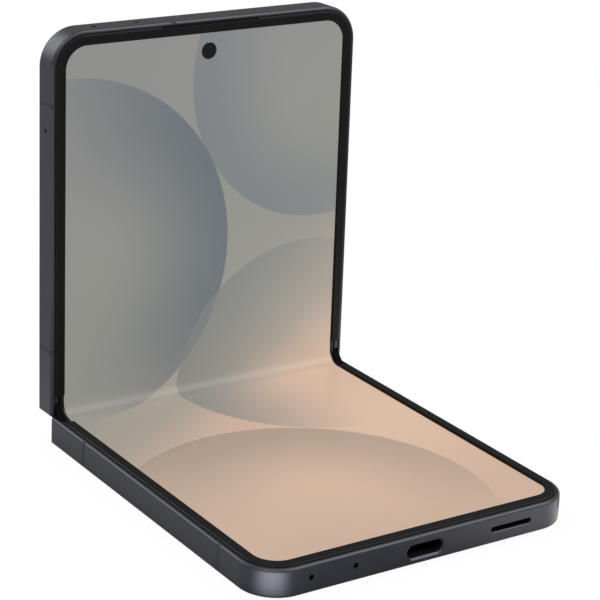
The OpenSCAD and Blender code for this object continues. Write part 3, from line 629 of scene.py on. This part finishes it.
DISCS: tuple[Disc, ...] = (
    Disc((30 * MM, 70 * MM), 34 * MM, 26 * MM, 215, srgb(118, 126, 132), 0.75),
    Disc((-34 * MM, 34 * MM), 40 * MM, 34 * MM, 10, srgb(96, 107, 116), 0.85),
    Disc((26 * MM, -2 * MM), 33 * MM, 30 * MM, 160, srgb(128, 131, 130), 0.75),
    Disc((-12 * MM, -62 * MM), 38 * MM, 30 * MM, 62, srgb(156, 138, 123), 0.65),
)
DISC_RIM = 0.35 * MM
DISC_BACK = -0.35

LEFT_REACH = 34 * MM
LEFT_SHADE = srgb(128, 128, 120)
LEFT_STRENGTH = 0.22

PICTURE_HALF = 34.4 * MM
PICTURE_RIM = 0.1 * MM
BRIGHTNESS = 0.96
FILM_WAVE = 9 * MM
FILM_DEPTH = 0.01 * MM


def disc_group() -> bpy.types.NodeTree:
    """Group that gives the shade of one disc over a place in the picture.

    Returns:
        The group.
    """
    def build(w: Writer, start: bpy.types.Node) -> dict[str, Socket]:
        """Writes the group: the shade fades inwards from the rim and away from its darkest side.

        Args:
            w: Writes into the group.
            start: The group's input node.

        Returns:
            What each output gives.
        """
        away = w.vector("SUBTRACT", start.outputs["Place"], start.outputs["Centre"])
        far = w.vector("LENGTH", away, output="Value")
        inside = w.math("SUBTRACT", start.outputs["Radius"], far)
        edge = w.between(inside, 0.0, DISC_RIM)
        fade = w.math("SUBTRACT", 1.0, w.between(inside, 0.0, start.outputs["Depth"]))
        side = w.dot(w.vector("NORMALIZE", away), start.outputs["Towards"])
        facing = w.between(side, DISC_BACK, 1.0)
        return {"Shade": w.math("MULTIPLY", w.math("MULTIPLY", edge, fade), facing)}

    takes = {"Place": "Vector", "Centre": "Vector", "Radius": "Float", "Depth": "Float", "Towards": "Vector"}
    return GROUPS.get("disc shade", takes, {"Shade": "Float"}, build)


def picture_group() -> bpy.types.NodeTree:
    """Group that gives the picture's colour: a slow ground with four shaded discs.

    Returns:
        The group.
    """
    def build(w: Writer, start: bpy.types.Node) -> dict[str, Socket]:
        """Writes the group: the ground follows the height, tilted across, and greyer at the left.

        Args:
            w: Writes into the group.
            start: The group's input node.

        Returns:
            What each output gives.
        """
        place = w.add("UVMap", uv_map="picture").outputs["UV"]
        parts = w.add("SeparateXYZ", {"Vector": place})
        across, height = parts.outputs["X"], parts.outputs["Y"]
        tilted = w.math("MULTIPLY_ADD", across, GROUND_TILT, height)
        colour: Any = GROUND_STOPS[0][1]
        for (low, _), (high, stop) in zip(GROUND_STOPS, GROUND_STOPS[1:]):
            colour = w.mix(w.between(tilted, low, high), colour, stop)
        for disc in DISCS:
            angle = math.radians(disc.towards)
            shade = w.group(
                disc_group(), place=place, centre=(*disc.centre, 0), radius=disc.radius,
                depth=disc.depth, towards=(math.cos(angle), math.sin(angle), 0),
            ).outputs["Shade"]
            colour = w.mix(w.math("MULTIPLY", shade, disc.strength), colour, disc.colour)
        left = w.between(across, LEFT_REACH, -LEFT_REACH)
        colour = w.mix(w.math("MULTIPLY", left, LEFT_STRENGTH), colour, LEFT_SHADE)
        return {"Colour": colour}

    return GROUPS.get("picture", {}, {"Colour": "Color"}, build)


def display_material() -> bpy.types.Material:
    """Lit display under its thin, slightly wavy film: the picture glows within its black border.

    Returns:
        The material.
    """
    material, w, shader = MATERIALS.start("lit_display")
    picture = w.group(picture_group()).outputs["Colour"]
    place = w.object_place()
    waves = w.noise(w.scaled(place, FILM_WAVE), detail=1.0)
    normal = w.add("Bump", {"Strength": 0.5, "Distance": FILM_DEPTH, "Height": waves}).outputs["Normal"]
    across = w.add("SeparateXYZ", {"Vector": place}).outputs["X"]
    lit = w.between(w.math("ABSOLUTE", across), PICTURE_HALF + PICTURE_RIM, PICTURE_HALF)
    for label, value in (
        ("Base Color", srgb(12, 12, 13)), ("Roughness", 0.28), ("IOR", 1.22), ("Normal", normal),
        ("Emission Color", picture), ("Emission Strength", w.math("MULTIPLY", lit, BRIGHTNESS)),
    ):
        w.feed(shader.inputs[label], value)
    return material


# ---------------------------------------------------------------- patterned finishes


def mesh_holes_painted_shade(w: Writer, base: Socket) -> Socket:
    """Fine round holes in rows, painted darker than the base as the shade inside them.

    Args:
        w: Writes into the material.
        base: The base colour.

    Returns:
        The patterned colour.
    """
    pitch = 0.28 * MM
    place = w.scaled(w.object_place(), pitch)
    cells = w.add("TexVoronoi", {"Vector": place, "Scale": 1.0, "Randomness": 0.0})
    # Painted shade: the holes are only a darker colour, standing in for the shade inside them.
    return w.mix(w.between(cells.outputs["Distance"], 0.30, 0.36), srgb(4, 4, 4), base)


def board_traces(w: Writer, base: Socket) -> Socket:
    """Copper traces under the solder mask, with bare pads.

    Args:
        w: Writes into the material.
        base: The base colour.

    Returns:
        The patterned colour.
    """
    trace_size, pad_spacing = 6 * MM, 1.6 * MM
    place = w.object_place()
    lines = w.add("TexBrick", {"Vector": w.scaled(place, trace_size), "Scale": 6.0, "Mortar Size": 0.03})
    traced = w.mix(w.math("MULTIPLY", lines.outputs["Fac"], 0.5), base, srgb(70, 120, 60))
    pads = w.add("TexVoronoi", {"Vector": w.scaled(place, pad_spacing), "Scale": 1.0})
    return w.mix(w.between(pads.outputs["Distance"], 0.12, 0.08), traced, srgb(200, 160, 80))


def coil_turns(middle: Vector) -> Pattern:
    """Turns of a flat coil.

    Args:
        middle: The coil's middle.

    Returns:
        The pattern.
    """
    wire = 0.8 * MM

    def pattern(w: Writer, base: Socket) -> Socket:
        """Dark gaps between the turns, once for each wire's width outwards.

        Args:
            w: Writes into the material.
            base: The base colour.

        Returns:
            The patterned colour.
        """
        away = w.vector("SUBTRACT", w.object_place(), tuple(middle))
        far = w.vector("LENGTH", w.vector("MULTIPLY", away, (1, 1, 0)), output="Value")
        turn = w.math("FRACT", w.math("DIVIDE", far, wire))
        gap = w.between(w.math("ABSOLUTE", w.math("SUBTRACT", turn, 0.5)), 0.36, 0.46)
        return w.mix(gap, base, srgb(50, 28, 16))

    return pattern


# Rings from the outside inwards: barrel and rim in their own colours, a purple tint that is a painted coating
# reflection, and a dark middle that is painted shade.
LENS_RINGS_AND_PAINTED_LIGHT: tuple[tuple[float, float, Colour], ...] = (
    (2.3 * MM, 2.2 * MM, srgb(30, 31, 36)),
    (2.05 * MM, 1.95 * MM, srgb(8, 8, 10)),
    (1.5 * MM, 0.4 * MM, srgb(36, 30, 66)),
    (0.5 * MM, 0.3 * MM, srgb(2, 2, 4)),
)


def lens_rings(middles: Sequence[Vector], normal: Vector) -> Pattern:
    """Rings of a lens seen through its window, round the nearest of some middles.

    Args:
        middles: The lenses' middles.
        normal: Direction of their axes.

    Returns:
        The pattern: barrel, rim, coated glass with a painted coating reflection, and its middle with painted
            dark shade, from the outside inwards.
    """
    def pattern(w: Writer, base: Socket) -> Socket:
        """Each ring's colour starts at its own distance from the nearest axis.

        Args:
            w: Writes into the material.
            base: The base colour.

        Returns:
            The patterned colour.
        """
        place = w.object_place()
        nearest: Any = 1.0
        for middle in middles:
            away = w.vector("SUBTRACT", place, tuple(middle))
            depth = w.dot(away, tuple(normal))
            flat = w.vector("SUBTRACT", away, w.times(tuple(normal), depth))
            nearest = w.math("MINIMUM", nearest, w.vector("LENGTH", flat, output="Value"))
        colour: Any = base
        for outer, inner, ring in LENS_RINGS_AND_PAINTED_LIGHT:
            colour = w.mix(w.between(nearest, outer, inner), colour, ring)
        return colour

    return pattern


def pouch_crease_sheen(w: Writer, base: Socket) -> Socket:
    """Painted sheen of a foil pouch's soft creases: lighter bands from noise, with no real folds.

    Args:
        w: Writes into the material.
        base: The base colour.

    Returns:
        The patterned colour.
    """
    crease_size = 5 * MM
    sheen_bands = w.noise(w.scaled(w.object_place(), crease_size), detail=4.0)
    # Painted sheen: lighter bands where creased foil would catch the light.
    return w.mix(w.between(sheen_bands, 0.45, 0.6), base, srgb(52, 53, 58))


def gold_contacts(w: Writer, base: Socket) -> Socket:
    """Row of gold contacts on the socket's tongue.

    Args:
        w: Writes into the material.
        base: The base colour.

    Returns:
        The patterned colour.
    """
    pitch, shift = 0.5 * MM, 50 * MM
    across = w.add("SeparateXYZ", {"Vector": w.object_place()}).outputs["X"]
    strip = w.math("FRACT", w.math("DIVIDE", w.math("ADD", across, shift), pitch))
    contact = w.between(w.math("ABSOLUTE", w.math("SUBTRACT", strip, 0.5)), 0.26, 0.22)
    return w.mix(contact, base, srgb(96, 76, 40))


# ---------------------------------------------------------------- finishes of the nodes

ANODISED = Finish("anodised", srgb(46, 47, 52), metallic=0.85, roughness=0.38, grain=0.10 * MM,
                  depth=0.0015 * MM, edge=0.10 * MM, worn=srgb(62, 63, 68), variation=0.05)
BREAK = Finish("break", srgb(33, 34, 38), roughness=0.5, specular=0.12, variation=0.03)
ETCHED = Finish("etched", srgb(72, 75, 84), roughness=0.48, grain=0.06 * MM, depth=0.001 * MM, edge=0.15 * MM)
GLASS_BLACK = Finish("glass_black", srgb(10, 10, 12), roughness=0.06, depth=0.0, edge=0.15 * MM, coat=1.0)
SOFT_BLACK = Finish("soft_black", srgb(12, 12, 12), roughness=0.45, grain=0.05 * MM, depth=0.0008 * MM,
                    edge=0.12 * MM, specular=0.07)
MATT_BLACK = Finish("matt_black", srgb(9, 9, 10), roughness=0.6, specular=0.1)
# Hinge end caps: their own black plastic, made darker and duller as painted shade of the recess between the
# bezel ends.
CAP_BLACK_AND_SHADE = Finish("cap_black_and_shade", srgb(5, 5, 6), roughness=0.7, specular=0.02)
SOCKET = Finish("socket", srgb(38, 39, 42), metallic=1.0, roughness=0.45)
STEEL = Finish("steel", srgb(176, 178, 182), metallic=1.0, roughness=0.32, worn=srgb(210, 212, 216))
DARK_STEEL = Finish("dark_steel", srgb(130, 132, 138), metallic=1.0, roughness=0.36, worn=srgb(180, 182, 186))
BRASS = Finish("brass", srgb(206, 176, 110), metallic=1.0, roughness=0.3)
COPPER = Finish("copper", srgb(200, 128, 84), metallic=1.0, roughness=0.35)
RING = Finish("ring", srgb(104, 107, 118), metallic=1.0, roughness=0.2, grain=0.05 * MM, edge=0.15 * MM)
BOARD = Finish("board", srgb(24, 84, 52), roughness=0.35, coat=0.4)
POUCH = Finish("pouch", srgb(38, 39, 43), metallic=0.3, roughness=0.35)
FLASH = Finish("flash", srgb(232, 226, 196), roughness=0.25, coat=0.6)
FRONT_LENS = Finish("front_lens", srgb(6, 6, 8), roughness=0.2, depth=0.0, edge=0.02 * MM, specular=0.3)


@dataclass(frozen=True)
class PackedNodes:
    """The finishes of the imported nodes.

    Attributes:
        layout: Where the halves are.
        nodes: The nodes' objects by name.
    """

    layout: PhoneLayout
    nodes: dict[str, bpy.types.Object]

    @staticmethod
    def plain() -> dict[Finish, tuple[str, ...]]:
        """The finishes without a pattern.

        Returns:
            The names of each one's nodes.
        """
        return {
            ANODISED: ("lower_frame", "upper_frame", "volume_key", "side_key", "card_tray", "spine_cover"),
            BREAK: ("lower_antenna_breaks", "upper_antenna_breaks"),
            ETCHED: ("lower_rear_glass",),
            GLASS_BLACK: ("cover_glass", "cover_display", "lower_display", "upper_display", "display_fold"),
            SOFT_BLACK: ("lower_bezel", "upper_bezel"),
            MATT_BLACK: ("loudspeaker", "earpiece", "front_camera", "wide_camera", "ultrawide_camera",
                         "lower_microphones", "upper_microphones"),
            CAP_BLACK_AND_SHADE: ("hinge_end_caps",),
            SOCKET: ("socket_shell",),
            STEEL: ("vibration_motor", "board_shield", "card_reader", "lower_hinge_screws",
                    "upper_hinge_screws", "key_switches"),
            DARK_STEEL: ("lower_hinge_arms", "upper_hinge_arms", "hinge_blocks", "lower_gear_arm",
                         "upper_gear_arm", "gear_box"),
            BRASS: ("first_pinion", "second_pinion", "third_pinion", "fourth_pinion"),
            RING: ("camera_rings",),
            FLASH: ("flash_window",),
        }

    def patterned(self) -> dict[str, tuple[Finish, Pattern]]:
        """The nodes that have a pattern of their own.

        Returns:
            Each one's finish and pattern.
        """
        _, out = self.layout.axes(Half.UPPER)
        lenses = [sum(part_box(name), Vector()) / 2 for name in ("wide_camera", "ultrawide_camera")]
        coil = sum(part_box("charging_coil"), Vector()) / 2
        return {
            **dict.fromkeys(("main_battery", "second_battery"), (POUCH, pouch_crease_sheen)),
            **dict.fromkeys(("charging_board", "main_board"), (BOARD, board_traces)),
            **dict.fromkeys(("loudspeaker_mesh", "earpiece_mesh"), (MATT_BLACK, mesh_holes_painted_shade)),
            "charging_coil": (COPPER, coil_turns(coil)),
            "socket_tongue": (MATT_BLACK, gold_contacts),
            "camera_windows": (GLASS_BLACK, lens_rings(lenses, out)),
        }

    def dress(self) -> None:
        """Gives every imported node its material."""
        materials = {
            name: MATERIALS.finish(finish) for finish, names in self.plain().items() for name in names
        }
        for name, (finish, pattern) in self.patterned().items():
            materials[name] = MATERIALS.finish(finish, pattern, name)
        for name, thing in self.nodes.items():
            thing.data.materials.clear()
            thing.data.materials.append(materials[name])
        LOG.info("%d packed nodes dressed", len(self.nodes))


# ---------------------------------------------------------------- the display and the front lens


@dataclass(frozen=True)
class FoldingDisplay:
    """The lit display: a straight sheet on each half and a bent one across the fold, in metres.

    Attributes:
        layout: Where the halves are.
        corner: Radius of the outer corners.
        punch_radius: Radius of the hole for the front camera.
        hub_radius: Radius of the face in the middle of the lower half's sheet.
        bend_radius: Radius of the bend at rest.
        tuck: Where the straight sheets start, under the bent one, so that no pose opens a gap.
        lift: How far the bend lies over the straight sheets.
        spacing: Longest step between points of a straight sheet's outline.
        corner_steps: Steps of a corner's arc.
        bend_steps: Steps of the bend's arc.
    """

    layout: PhoneLayout
    corner: float = 5.8 * MM
    punch_radius: float = 1.9 * MM
    hub_radius: float = 0.5 * MM
    bend_radius: float = 3.2 * MM
    tuck: float = 1.15 * MM
    lift: float = 0.02 * MM
    spacing: float = 4 * MM
    corner_steps: int = 20
    bend_steps: int = 48

    def outline(self) -> np.ndarray:
        """Outline of a straight sheet as rows of x, v: straight sides and two round outer corners.

        The right corner's points are its middle plus its radius times the cosine and sine of a
        quarter turn, and the left corner's are those turned on by 90 degrees. Long sides are
        parted into equal steps.

        Returns:
            The rows, from the left end at the fold round to it again.
        """
        w, end, r = self.layout.half_width, self.layout.end, self.corner
        turns = np.linspace(0, math.pi / 2, self.corner_steps + 1)
        right = np.column_stack((w - r + r * np.cos(turns), end - r + r * np.sin(turns)))
        left = np.column_stack((-w + r - r * np.sin(turns), end - r + r * np.cos(turns)))
        corners = np.concatenate(([[-w, self.tuck], [w, self.tuck]], right, left))
        following = np.roll(corners, -1, axis=0)
        lengths = np.linalg.norm(following - corners, axis=1)
        parts = np.maximum(1, np.round(lengths / self.spacing)).astype(int)
        return np.concatenate([
            np.linspace(one, two, count, endpoint=False)
            for one, two, count in zip(corners, following, parts)
        ])

    def straight(self, half: Half) -> bpy.types.Object:
        """One half's straight sheet: outline and hole joined along the rays from the hole's middle.

        A point of the hole is its middle plus its radius times the direction to a point of the
        outline. The upper sheet's hole is the front camera's, and the lower one's is closed.

        Args:
            half: The half.

        Returns:
            The sheet.
        """
        layout = self.layout
        upper = half is Half.UPPER
        middle = np.array((0.0, layout.punch if upper else layout.end / 2))
        outline = self.outline()
        away = outline - middle
        radius = self.punch_radius if upper else self.hub_radius
        hole = middle + away / np.linalg.norm(away, axis=1, keepdims=True) * radius
        builder = MeshBuilder(f"display_{half.value}")

        def ring(points: np.ndarray, depth: float) -> np.ndarray:
            """Adds a ring of points to the sheet.

            Args:
                points: Their x and v.
                depth: Their depth under the display's surface.

            Returns:
                The points' numbers.
            """
            local = np.column_stack((points, np.full(len(points), -depth)))
            picture = np.column_stack((points[:, 0], layout.height(half, points[:, 1])))
            return builder.row(layout.place(half, local), picture)

        top, top_hole = ring(outline, 0), ring(hole, 0)
        low, low_hole = ring(outline, layout.thickness), ring(hole, layout.thickness)
        builder.join(top, top_hole)
        builder.join(low, low_hole)
        builder.join(top, low)
        if upper:
            builder.join(top_hole, low_hole)
        else:
            builder.cap(top_hole)
            builder.cap(low_hole)
        return builder.make()

    def bend(self) -> bpy.types.Object:
        """The bend: an arc across the spine that meets both straight sheets.

        Its centre lies out of the fold, where the arc touches both surfaces, and a point of it is
        the centre plus the radius along the direction turned from minus to plus one half's turn.

        Returns:
            The sheet.
        """
        layout = self.layout
        middle, along, out = layout.spine_axes()
        turns = np.linspace(-layout.turn, layout.turn, self.bend_steps + 1)
        centre = (self.bend_radius / math.cos(layout.turn) - layout.crease_back * math.sin(layout.turn)
                  + layout.depth * math.cos(layout.turn))
        reach = self.bend_radius * math.tan(layout.turn)
        builder = MeshBuilder("display_bend")
        rows = []
        for side in (-1, 1):
            for extra in (-self.lift, layout.thickness):
                radius = self.bend_radius + extra
                across = np.full(len(turns), side * layout.bend_half_width)
                arc = np.outer(radius * np.sin(turns), along) + np.outer(centre - radius * np.cos(turns), out)
                places = np.array(middle) + arc + np.column_stack((across, 0 * across, 0 * across))
                picture = np.column_stack((across, reach * turns / layout.turn))
                rows.append(builder.row(places, picture))
        left_top, left_low, right_top, right_low = rows
        builder.join(left_top, right_top, closed=False)
        builder.join(left_low, right_low, closed=False)
        builder.join(left_top, left_low, closed=False)
        builder.join(right_top, right_low, closed=False)
        for i in (0, -1):
            builder.cap([left_top[i], right_top[i], right_low[i], left_low[i]])
        return builder.make(smooth_deg=30)

    def build(self) -> list[bpy.types.Object]:
        """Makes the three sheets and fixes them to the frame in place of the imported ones.

        Returns:
            The sheets.
        """
        glow = display_material()
        middle, _, out = self.layout.spine_axes()
        sheets = []
        for half, node in ((Half.LOWER, "lower_display"), (Half.UPPER, "upper_display")):
            sheet = self.straight(half)
            sheet.data.materials.append(glow)
            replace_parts(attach(sheet, half.value), node)
            sheets.append(sheet)
        bend = self.bend()
        bend.data.materials.append(glow)
        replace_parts(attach(bend, "spine"), "display_fold")
        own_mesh(bend)
        return [*sheets, bend]


@dataclass(frozen=True)
class FrontLens:
    """The front camera's lens in the display's hole: a matt barrel's mouth round a small dome.

    Heights are measured from the display's surface, in metres.

    Attributes:
        layout: Where the halves are.
        barrel: Radius and height of each point of the barrel, from the rim inwards.
        dome_radius: Radius of the dome's foot.
        dome_foot: Height of its foot.
        dome_rise: How far it rises over its foot.
        dome_end: Angle of its arc where it is closed, in radians.
        dome_steps: Points of its arc.
        turn_steps: Segments round the axis.
    """

    layout: PhoneLayout
    barrel: tuple[tuple[float, float], ...] = (
        (1.86 * MM, -0.30 * MM), (1.86 * MM, -0.10 * MM), (1.45 * MM, -0.10 * MM),
        (1.05 * MM, -0.20 * MM), (0.70 * MM, -0.22 * MM),
    )
    dome_radius: float = 0.62 * MM
    dome_foot: float = -0.22 * MM
    dome_rise: float = 0.12 * MM
    dome_end: float = 1.5
    dome_steps: int = 8
    turn_steps: int = 64

    def profile(self) -> np.ndarray:
        """Profile of the lens: the barrel, then the dome by the cosine and sine of its arc.

        Returns:
            Rows of radius and height, from the rim to the axis.
        """
        arc = np.linspace(0, self.dome_end, self.dome_steps)
        heights = self.dome_foot + self.dome_rise * np.sin(arc)
        return np.concatenate((self.barrel, np.column_stack((self.dome_radius * np.cos(arc), heights))))

    def build(self) -> bpy.types.Object:
        """Turns the profile round the camera's axis, dresses it and fixes it to the upper half.

        A point is the axis plus its radius times the cosine and sine of the turn, at its height.

        Returns:
            The lens.
        """
        layout = self.layout
        turns = np.linspace(0, 2 * math.pi, self.turn_steps, endpoint=False)
        builder = MeshBuilder("front_camera_lens")
        rings = []
        for radius, height in self.profile():
            circle = np.column_stack((
                radius * np.cos(turns), layout.punch + radius * np.sin(turns), np.full(len(turns), height),
            ))
            rings.append(builder.row(layout.place(Half.UPPER, circle)))
        for one, two in zip(rings, rings[1:]):
            builder.join(one, two)
        builder.cap(rings[-1])
        builder.cap(rings[0])
        lens = builder.make(smooth_deg=40)
        lens.data.materials.append(MATERIALS.finish(FRONT_LENS))
        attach(lens, "upper")
        return lens


# ---------------------------------------------------------------- studio and camera


@dataclass(frozen=True)
class Softbox:
    """One square area light that looks at the phone.

    Attributes:
        name: Its name.
        place: Where it stands, in metres.
        size: Its side in metres.
        power: Its power in watts.
    """

    name: str
    place: tuple[float, float, float]
    size: float
    power: float

    def build(self, aim: Vector) -> None:
        """Makes the light.

        Args:
            aim: The place that it looks at.
        """
        light = bpy.data.lights.new(self.name, "AREA")
        light.shape = "SQUARE"
        light.size = self.size
        light.energy = self.power
        lamp = bpy.data.objects.new(self.name, light)
        lamp.location = self.place
        lamp.rotation_mode = "QUATERNION"
        lamp.rotation_quaternion = (aim - Vector(self.place)).to_track_quat("-Z", "Y")
        bpy.context.scene.collection.objects.link(lamp)


@dataclass(frozen=True)
class Glow:
    """One round patch of the surroundings that is brighter or darker than the rest.

    Attributes:
        towards: Direction from the phone, of any length.
        inner: Angle from that direction up to which it has its full strength, in degrees.
        outer: Angle at which it ends, in degrees.
        strength: What it adds to the surroundings' brightness, negative to darken.
    """

    towards: tuple[float, float, float]
    inner: float
    outer: float
    strength: float


@dataclass(frozen=True)
class Card:
    """One round card on the floor by the phone, which only its reflections show.

    Attributes:
        centre: Its middle on the floor, in metres.
        inner: Radius up to which it has its full brightness.
        outer: Radius at which it ends.
        brightness: Its brightness.
    """

    centre: tuple[float, float]
    inner: float
    outer: float
    brightness: float


WHITE: Colour = (1.0, 1.0, 1.0)


@dataclass(frozen=True)
class Studio:
    """White floor and backdrop that stay white to the camera, and soft lights.

    Attributes:
        softboxes: The lights.
        glows: Patches of the surroundings, which the display and the rails reflect.
        cards: Cards on the floor, which the corners reflect.
        aim: The place that the lights look at.
        low_sky: Brightness of the surroundings under the horizon.
        high_sky: What they gain up to the top.
        sky_span: Z of the direction back along a ray at which that gain starts and is full.
        floor_half: Half the floor's width.
        floor_drop: How far it lies under the phone.
        contact: Reach and colour of the shade that the camera sees under the phone.
        dim: Reach and colour of the floor's shade in reflections, next to the phone.
        left: Direction in which the far floor is bright.
        left_span: Cosine of the angle to that direction at which the bright floor starts and is full.
        far: Colours of the far floor, away from that direction and along it.
        near: Colours of the floor next to the phone, at its left and its right.
        near_span: Where across the phone the near floor changes from one to the other.
        near_end: Distances from the middle where the near floor ends and the far one starts.
    """

    softboxes: tuple[Softbox, ...] = (
        Softbox("key", (-0.55, -0.45, 0.95), 0.55, 7.0),
        Softbox("fill", (0.75, -0.65, 0.55), 0.6, 2.0),
    )
    glows: tuple[Glow, ...] = (
        Glow((0.49, 0.79, 0.34), 20, 48, -0.50),
        Glow((-0.38, 0.79, 0.49), 8, 28, 4.0),
        Glow((0.49, -0.38, 0.79), 8, 28, 6.0),
    )
    cards: tuple[Card, ...] = (
        Card((-43 * MM, -50 * MM), 6 * MM, 15 * MM, 11.0),
        Card((45 * MM, -25 * MM), 10 * MM, 17 * MM, 0.1),
    )
    aim: tuple[float, float, float] = (0.0, 0.01, 0.04)
    low_sky: float = 0.65
    high_sky: float = 0.45
    sky_span: tuple[float, float] = (0.2, -0.9)
    floor_half: float = 3.0
    floor_drop: float = 0.02 * MM
    contact: tuple[float, Colour] = (6 * MM, (0.95, 0.95, 0.95))
    dim: tuple[float, Colour] = (14 * MM, (0.02, 0.02, 0.02))
    left: tuple[float, float, float] = (-0.98, -0.2, 0.0)
    left_span: tuple[float, float] = (0.35, 0.95)
    far: tuple[Colour, Colour] = ((0.62, 0.62, 0.63), (2.2, 2.2, 2.2))
    near: tuple[Colour, Colour] = ((0.95, 0.95, 1.0), (2.9, 2.8, 2.8))
    near_span: tuple[float, float] = (-5 * MM, 40 * MM)
    near_end: tuple[float, float] = (68 * MM, 120 * MM)

    def build_world(self) -> None:
        """Surroundings that are white to the camera and brighter upwards to everything else."""
        world = bpy.data.worlds.new("studio")
        world.use_nodes = True
        world.node_tree.nodes.clear()
        w = Writer(world.node_tree)
        seen = w.add("LightPath").outputs["Is Camera Ray"]
        incoming = w.add("NewGeometry").outputs["Incoming"]
        level = w.between(w.add("SeparateXYZ", {"Vector": incoming}).outputs["Z"], *self.sky_span)
        light = w.math("MULTIPLY_ADD", level, self.high_sky, self.low_sky)
        for glow in self.glows:
            facing = w.dot(incoming, tuple(-Vector(glow.towards).normalized()))
            ends = (math.cos(math.radians(angle)) for angle in (glow.outer, glow.inner))
            light = w.math("MULTIPLY_ADD", w.between(facing, *ends), glow.strength, light)
        tent = w.add("CombineXYZ", {"X": light, "Y": light, "Z": light}).outputs["Vector"]
        back = w.add("Background", {"Color": w.mix(seen, tent, WHITE), "Strength": 1.0})
        w.add("OutputWorld", {"Surface": back.outputs["Background"]})
        bpy.context.scene.world = world

    def reflected(self, w: Writer) -> Socket:
        """Colour of the floor in reflections: bright to the left, with cards next to the phone.

        Args:
            w: Writes into the floor's material.

        Returns:
            The colour.
        """
        reach, dark = self.dim
        close = w.add("AmbientOcclusion", {"Distance": reach}, samples=4).outputs["AO"]
        place = w.object_place()
        facing = w.dot(w.vector("NORMALIZE", place), self.left)
        far = w.mix(w.between(facing, *self.left_span), *self.far)
        across = w.add("SeparateXYZ", {"Vector": place}).outputs["X"]
        near = w.mix(w.between(across, *self.near_span), *self.near)
        for card in self.cards:
            away = w.distance(place, (*card.centre, 0.0))
            near = w.mix(w.between(away, card.outer, card.inner), near, (card.brightness,) * 3)
        beyond = w.between(w.vector("LENGTH", place, output="Value"), *self.near_end)
        return w.mix(close, dark, w.mix(beyond, near, far))

    def build_floor(self) -> None:
        """Floor that is white to the camera, but for a faint contact shade."""
        half, z = self.floor_half, -self.floor_drop
        builder = MeshBuilder("floor")
        corners = np.array([(-half, -half, z), (half, -half, z), (half, half, z), (-half, half, z)])
        builder.cap(builder.row(corners))
        floor = builder.make()
        material = bpy.data.materials.new("studio_floor")
        material.use_nodes = True
        material.node_tree.nodes.clear()
        w = Writer(material.node_tree)
        reach, shade = self.contact
        close = w.add("AmbientOcclusion", {"Distance": reach}, samples=8).outputs["AO"]
        white = w.add("Emission", {"Color": w.mix(close, shade, WHITE)}).outputs["Emission"]
        other = w.add("Emission", {"Color": self.reflected(w)}).outputs["Emission"]
        seen = w.add("LightPath").outputs["Is Camera Ray"]
        both = w.add("MixShader", {0: seen, 1: other, 2: white})
        w.add("OutputMaterial", {"Surface": both.outputs[0]})
        floor.data.materials.append(material)

    def build(self) -> None:
        """Makes the surroundings, the floor and the lights."""
        self.build_world()
        self.build_floor()
        for softbox in self.softboxes:
            softbox.build(Vector(self.aim))
        bpy.context.scene.view_settings.view_transform = "Standard"
        LOG.info("studio with %d lights", len(self.softboxes))


@dataclass(frozen=True)
class Viewpoint:
    """The camera, as it stands to the phone.

    Attributes:
        place: Where it is from the middle of the crease, in metres.
        azimuth: Turn from the -Y side, in degrees, negative to the left.
        elevation: Height angle, in degrees.
        roll: Turn about the line of sight, in degrees.
        focal: Focal length in pixels of a square picture.
        centre: Pixel of the line of sight, from the top left.
        pixels: Width and height of the picture.
        sensor: Width of the sensor, in millimetres.
        nearest: Distance in metres from which it sees things.
    """

    place: tuple[float, float, float] = (-0.23749, -0.38221, 0.18432)
    azimuth: float = -33.723
    elevation: float = 17.463
    roll: float = 2.467
    focal: float = 2175.08
    centre: tuple[float, float] = (275.21, 206.66)
    pixels: int = 600
    sensor: float = 36.0
    nearest: float = 0.01

    def build(self, crease: Vector) -> None:
        """Makes the camera and hands it to the scene.

        Args:
            crease: Middle of the crease.
        """
        a, e, r = (math.radians(angle) for angle in (self.azimuth, self.elevation, self.roll))
        back = Vector((math.sin(a) * math.cos(e), -math.cos(a) * math.cos(e), math.sin(e)))
        level = (-back).cross(Vector((0, 0, 1))).normalized()
        above = level.cross(-back)
        right = level * math.cos(r) + above * math.sin(r)
        up = above * math.cos(r) - level * math.sin(r)
        data = bpy.data.cameras.new("camera")
        data.sensor_width = self.sensor
        data.lens = self.sensor * self.focal / self.pixels
        data.shift_x = 0.5 - self.centre[0] / self.pixels
        data.shift_y = self.centre[1] / self.pixels - 0.5
        data.clip_start = self.nearest
        camera = bpy.data.objects.new("camera", data)
        turn = Matrix((right, up, back)).transposed().to_4x4()
        camera.matrix_world = Matrix.Translation(crease + Vector(self.place)) @ turn
        bpy.context.scene.collection.objects.link(camera)
        bpy.context.scene.camera = camera


def main() -> None:
    """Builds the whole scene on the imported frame."""
    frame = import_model()
    layout = PhoneLayout.from_frame(frame["joints"])
    LOG.info("turn %.2f deg, display %.2f mm wide", math.degrees(layout.turn), 2 * layout.half_width / MM)
    Viewpoint().build(layout.crease)
    PackedNodes(layout, frame["nodes"]).dress()
    for piece in (*FoldingDisplay(layout).build(), FrontLens(layout).build()):
        LOG.info("%s: %d faces", piece.name, len(piece.data.polygons))
    Studio().build()


if __name__ == "__main__":
    main()
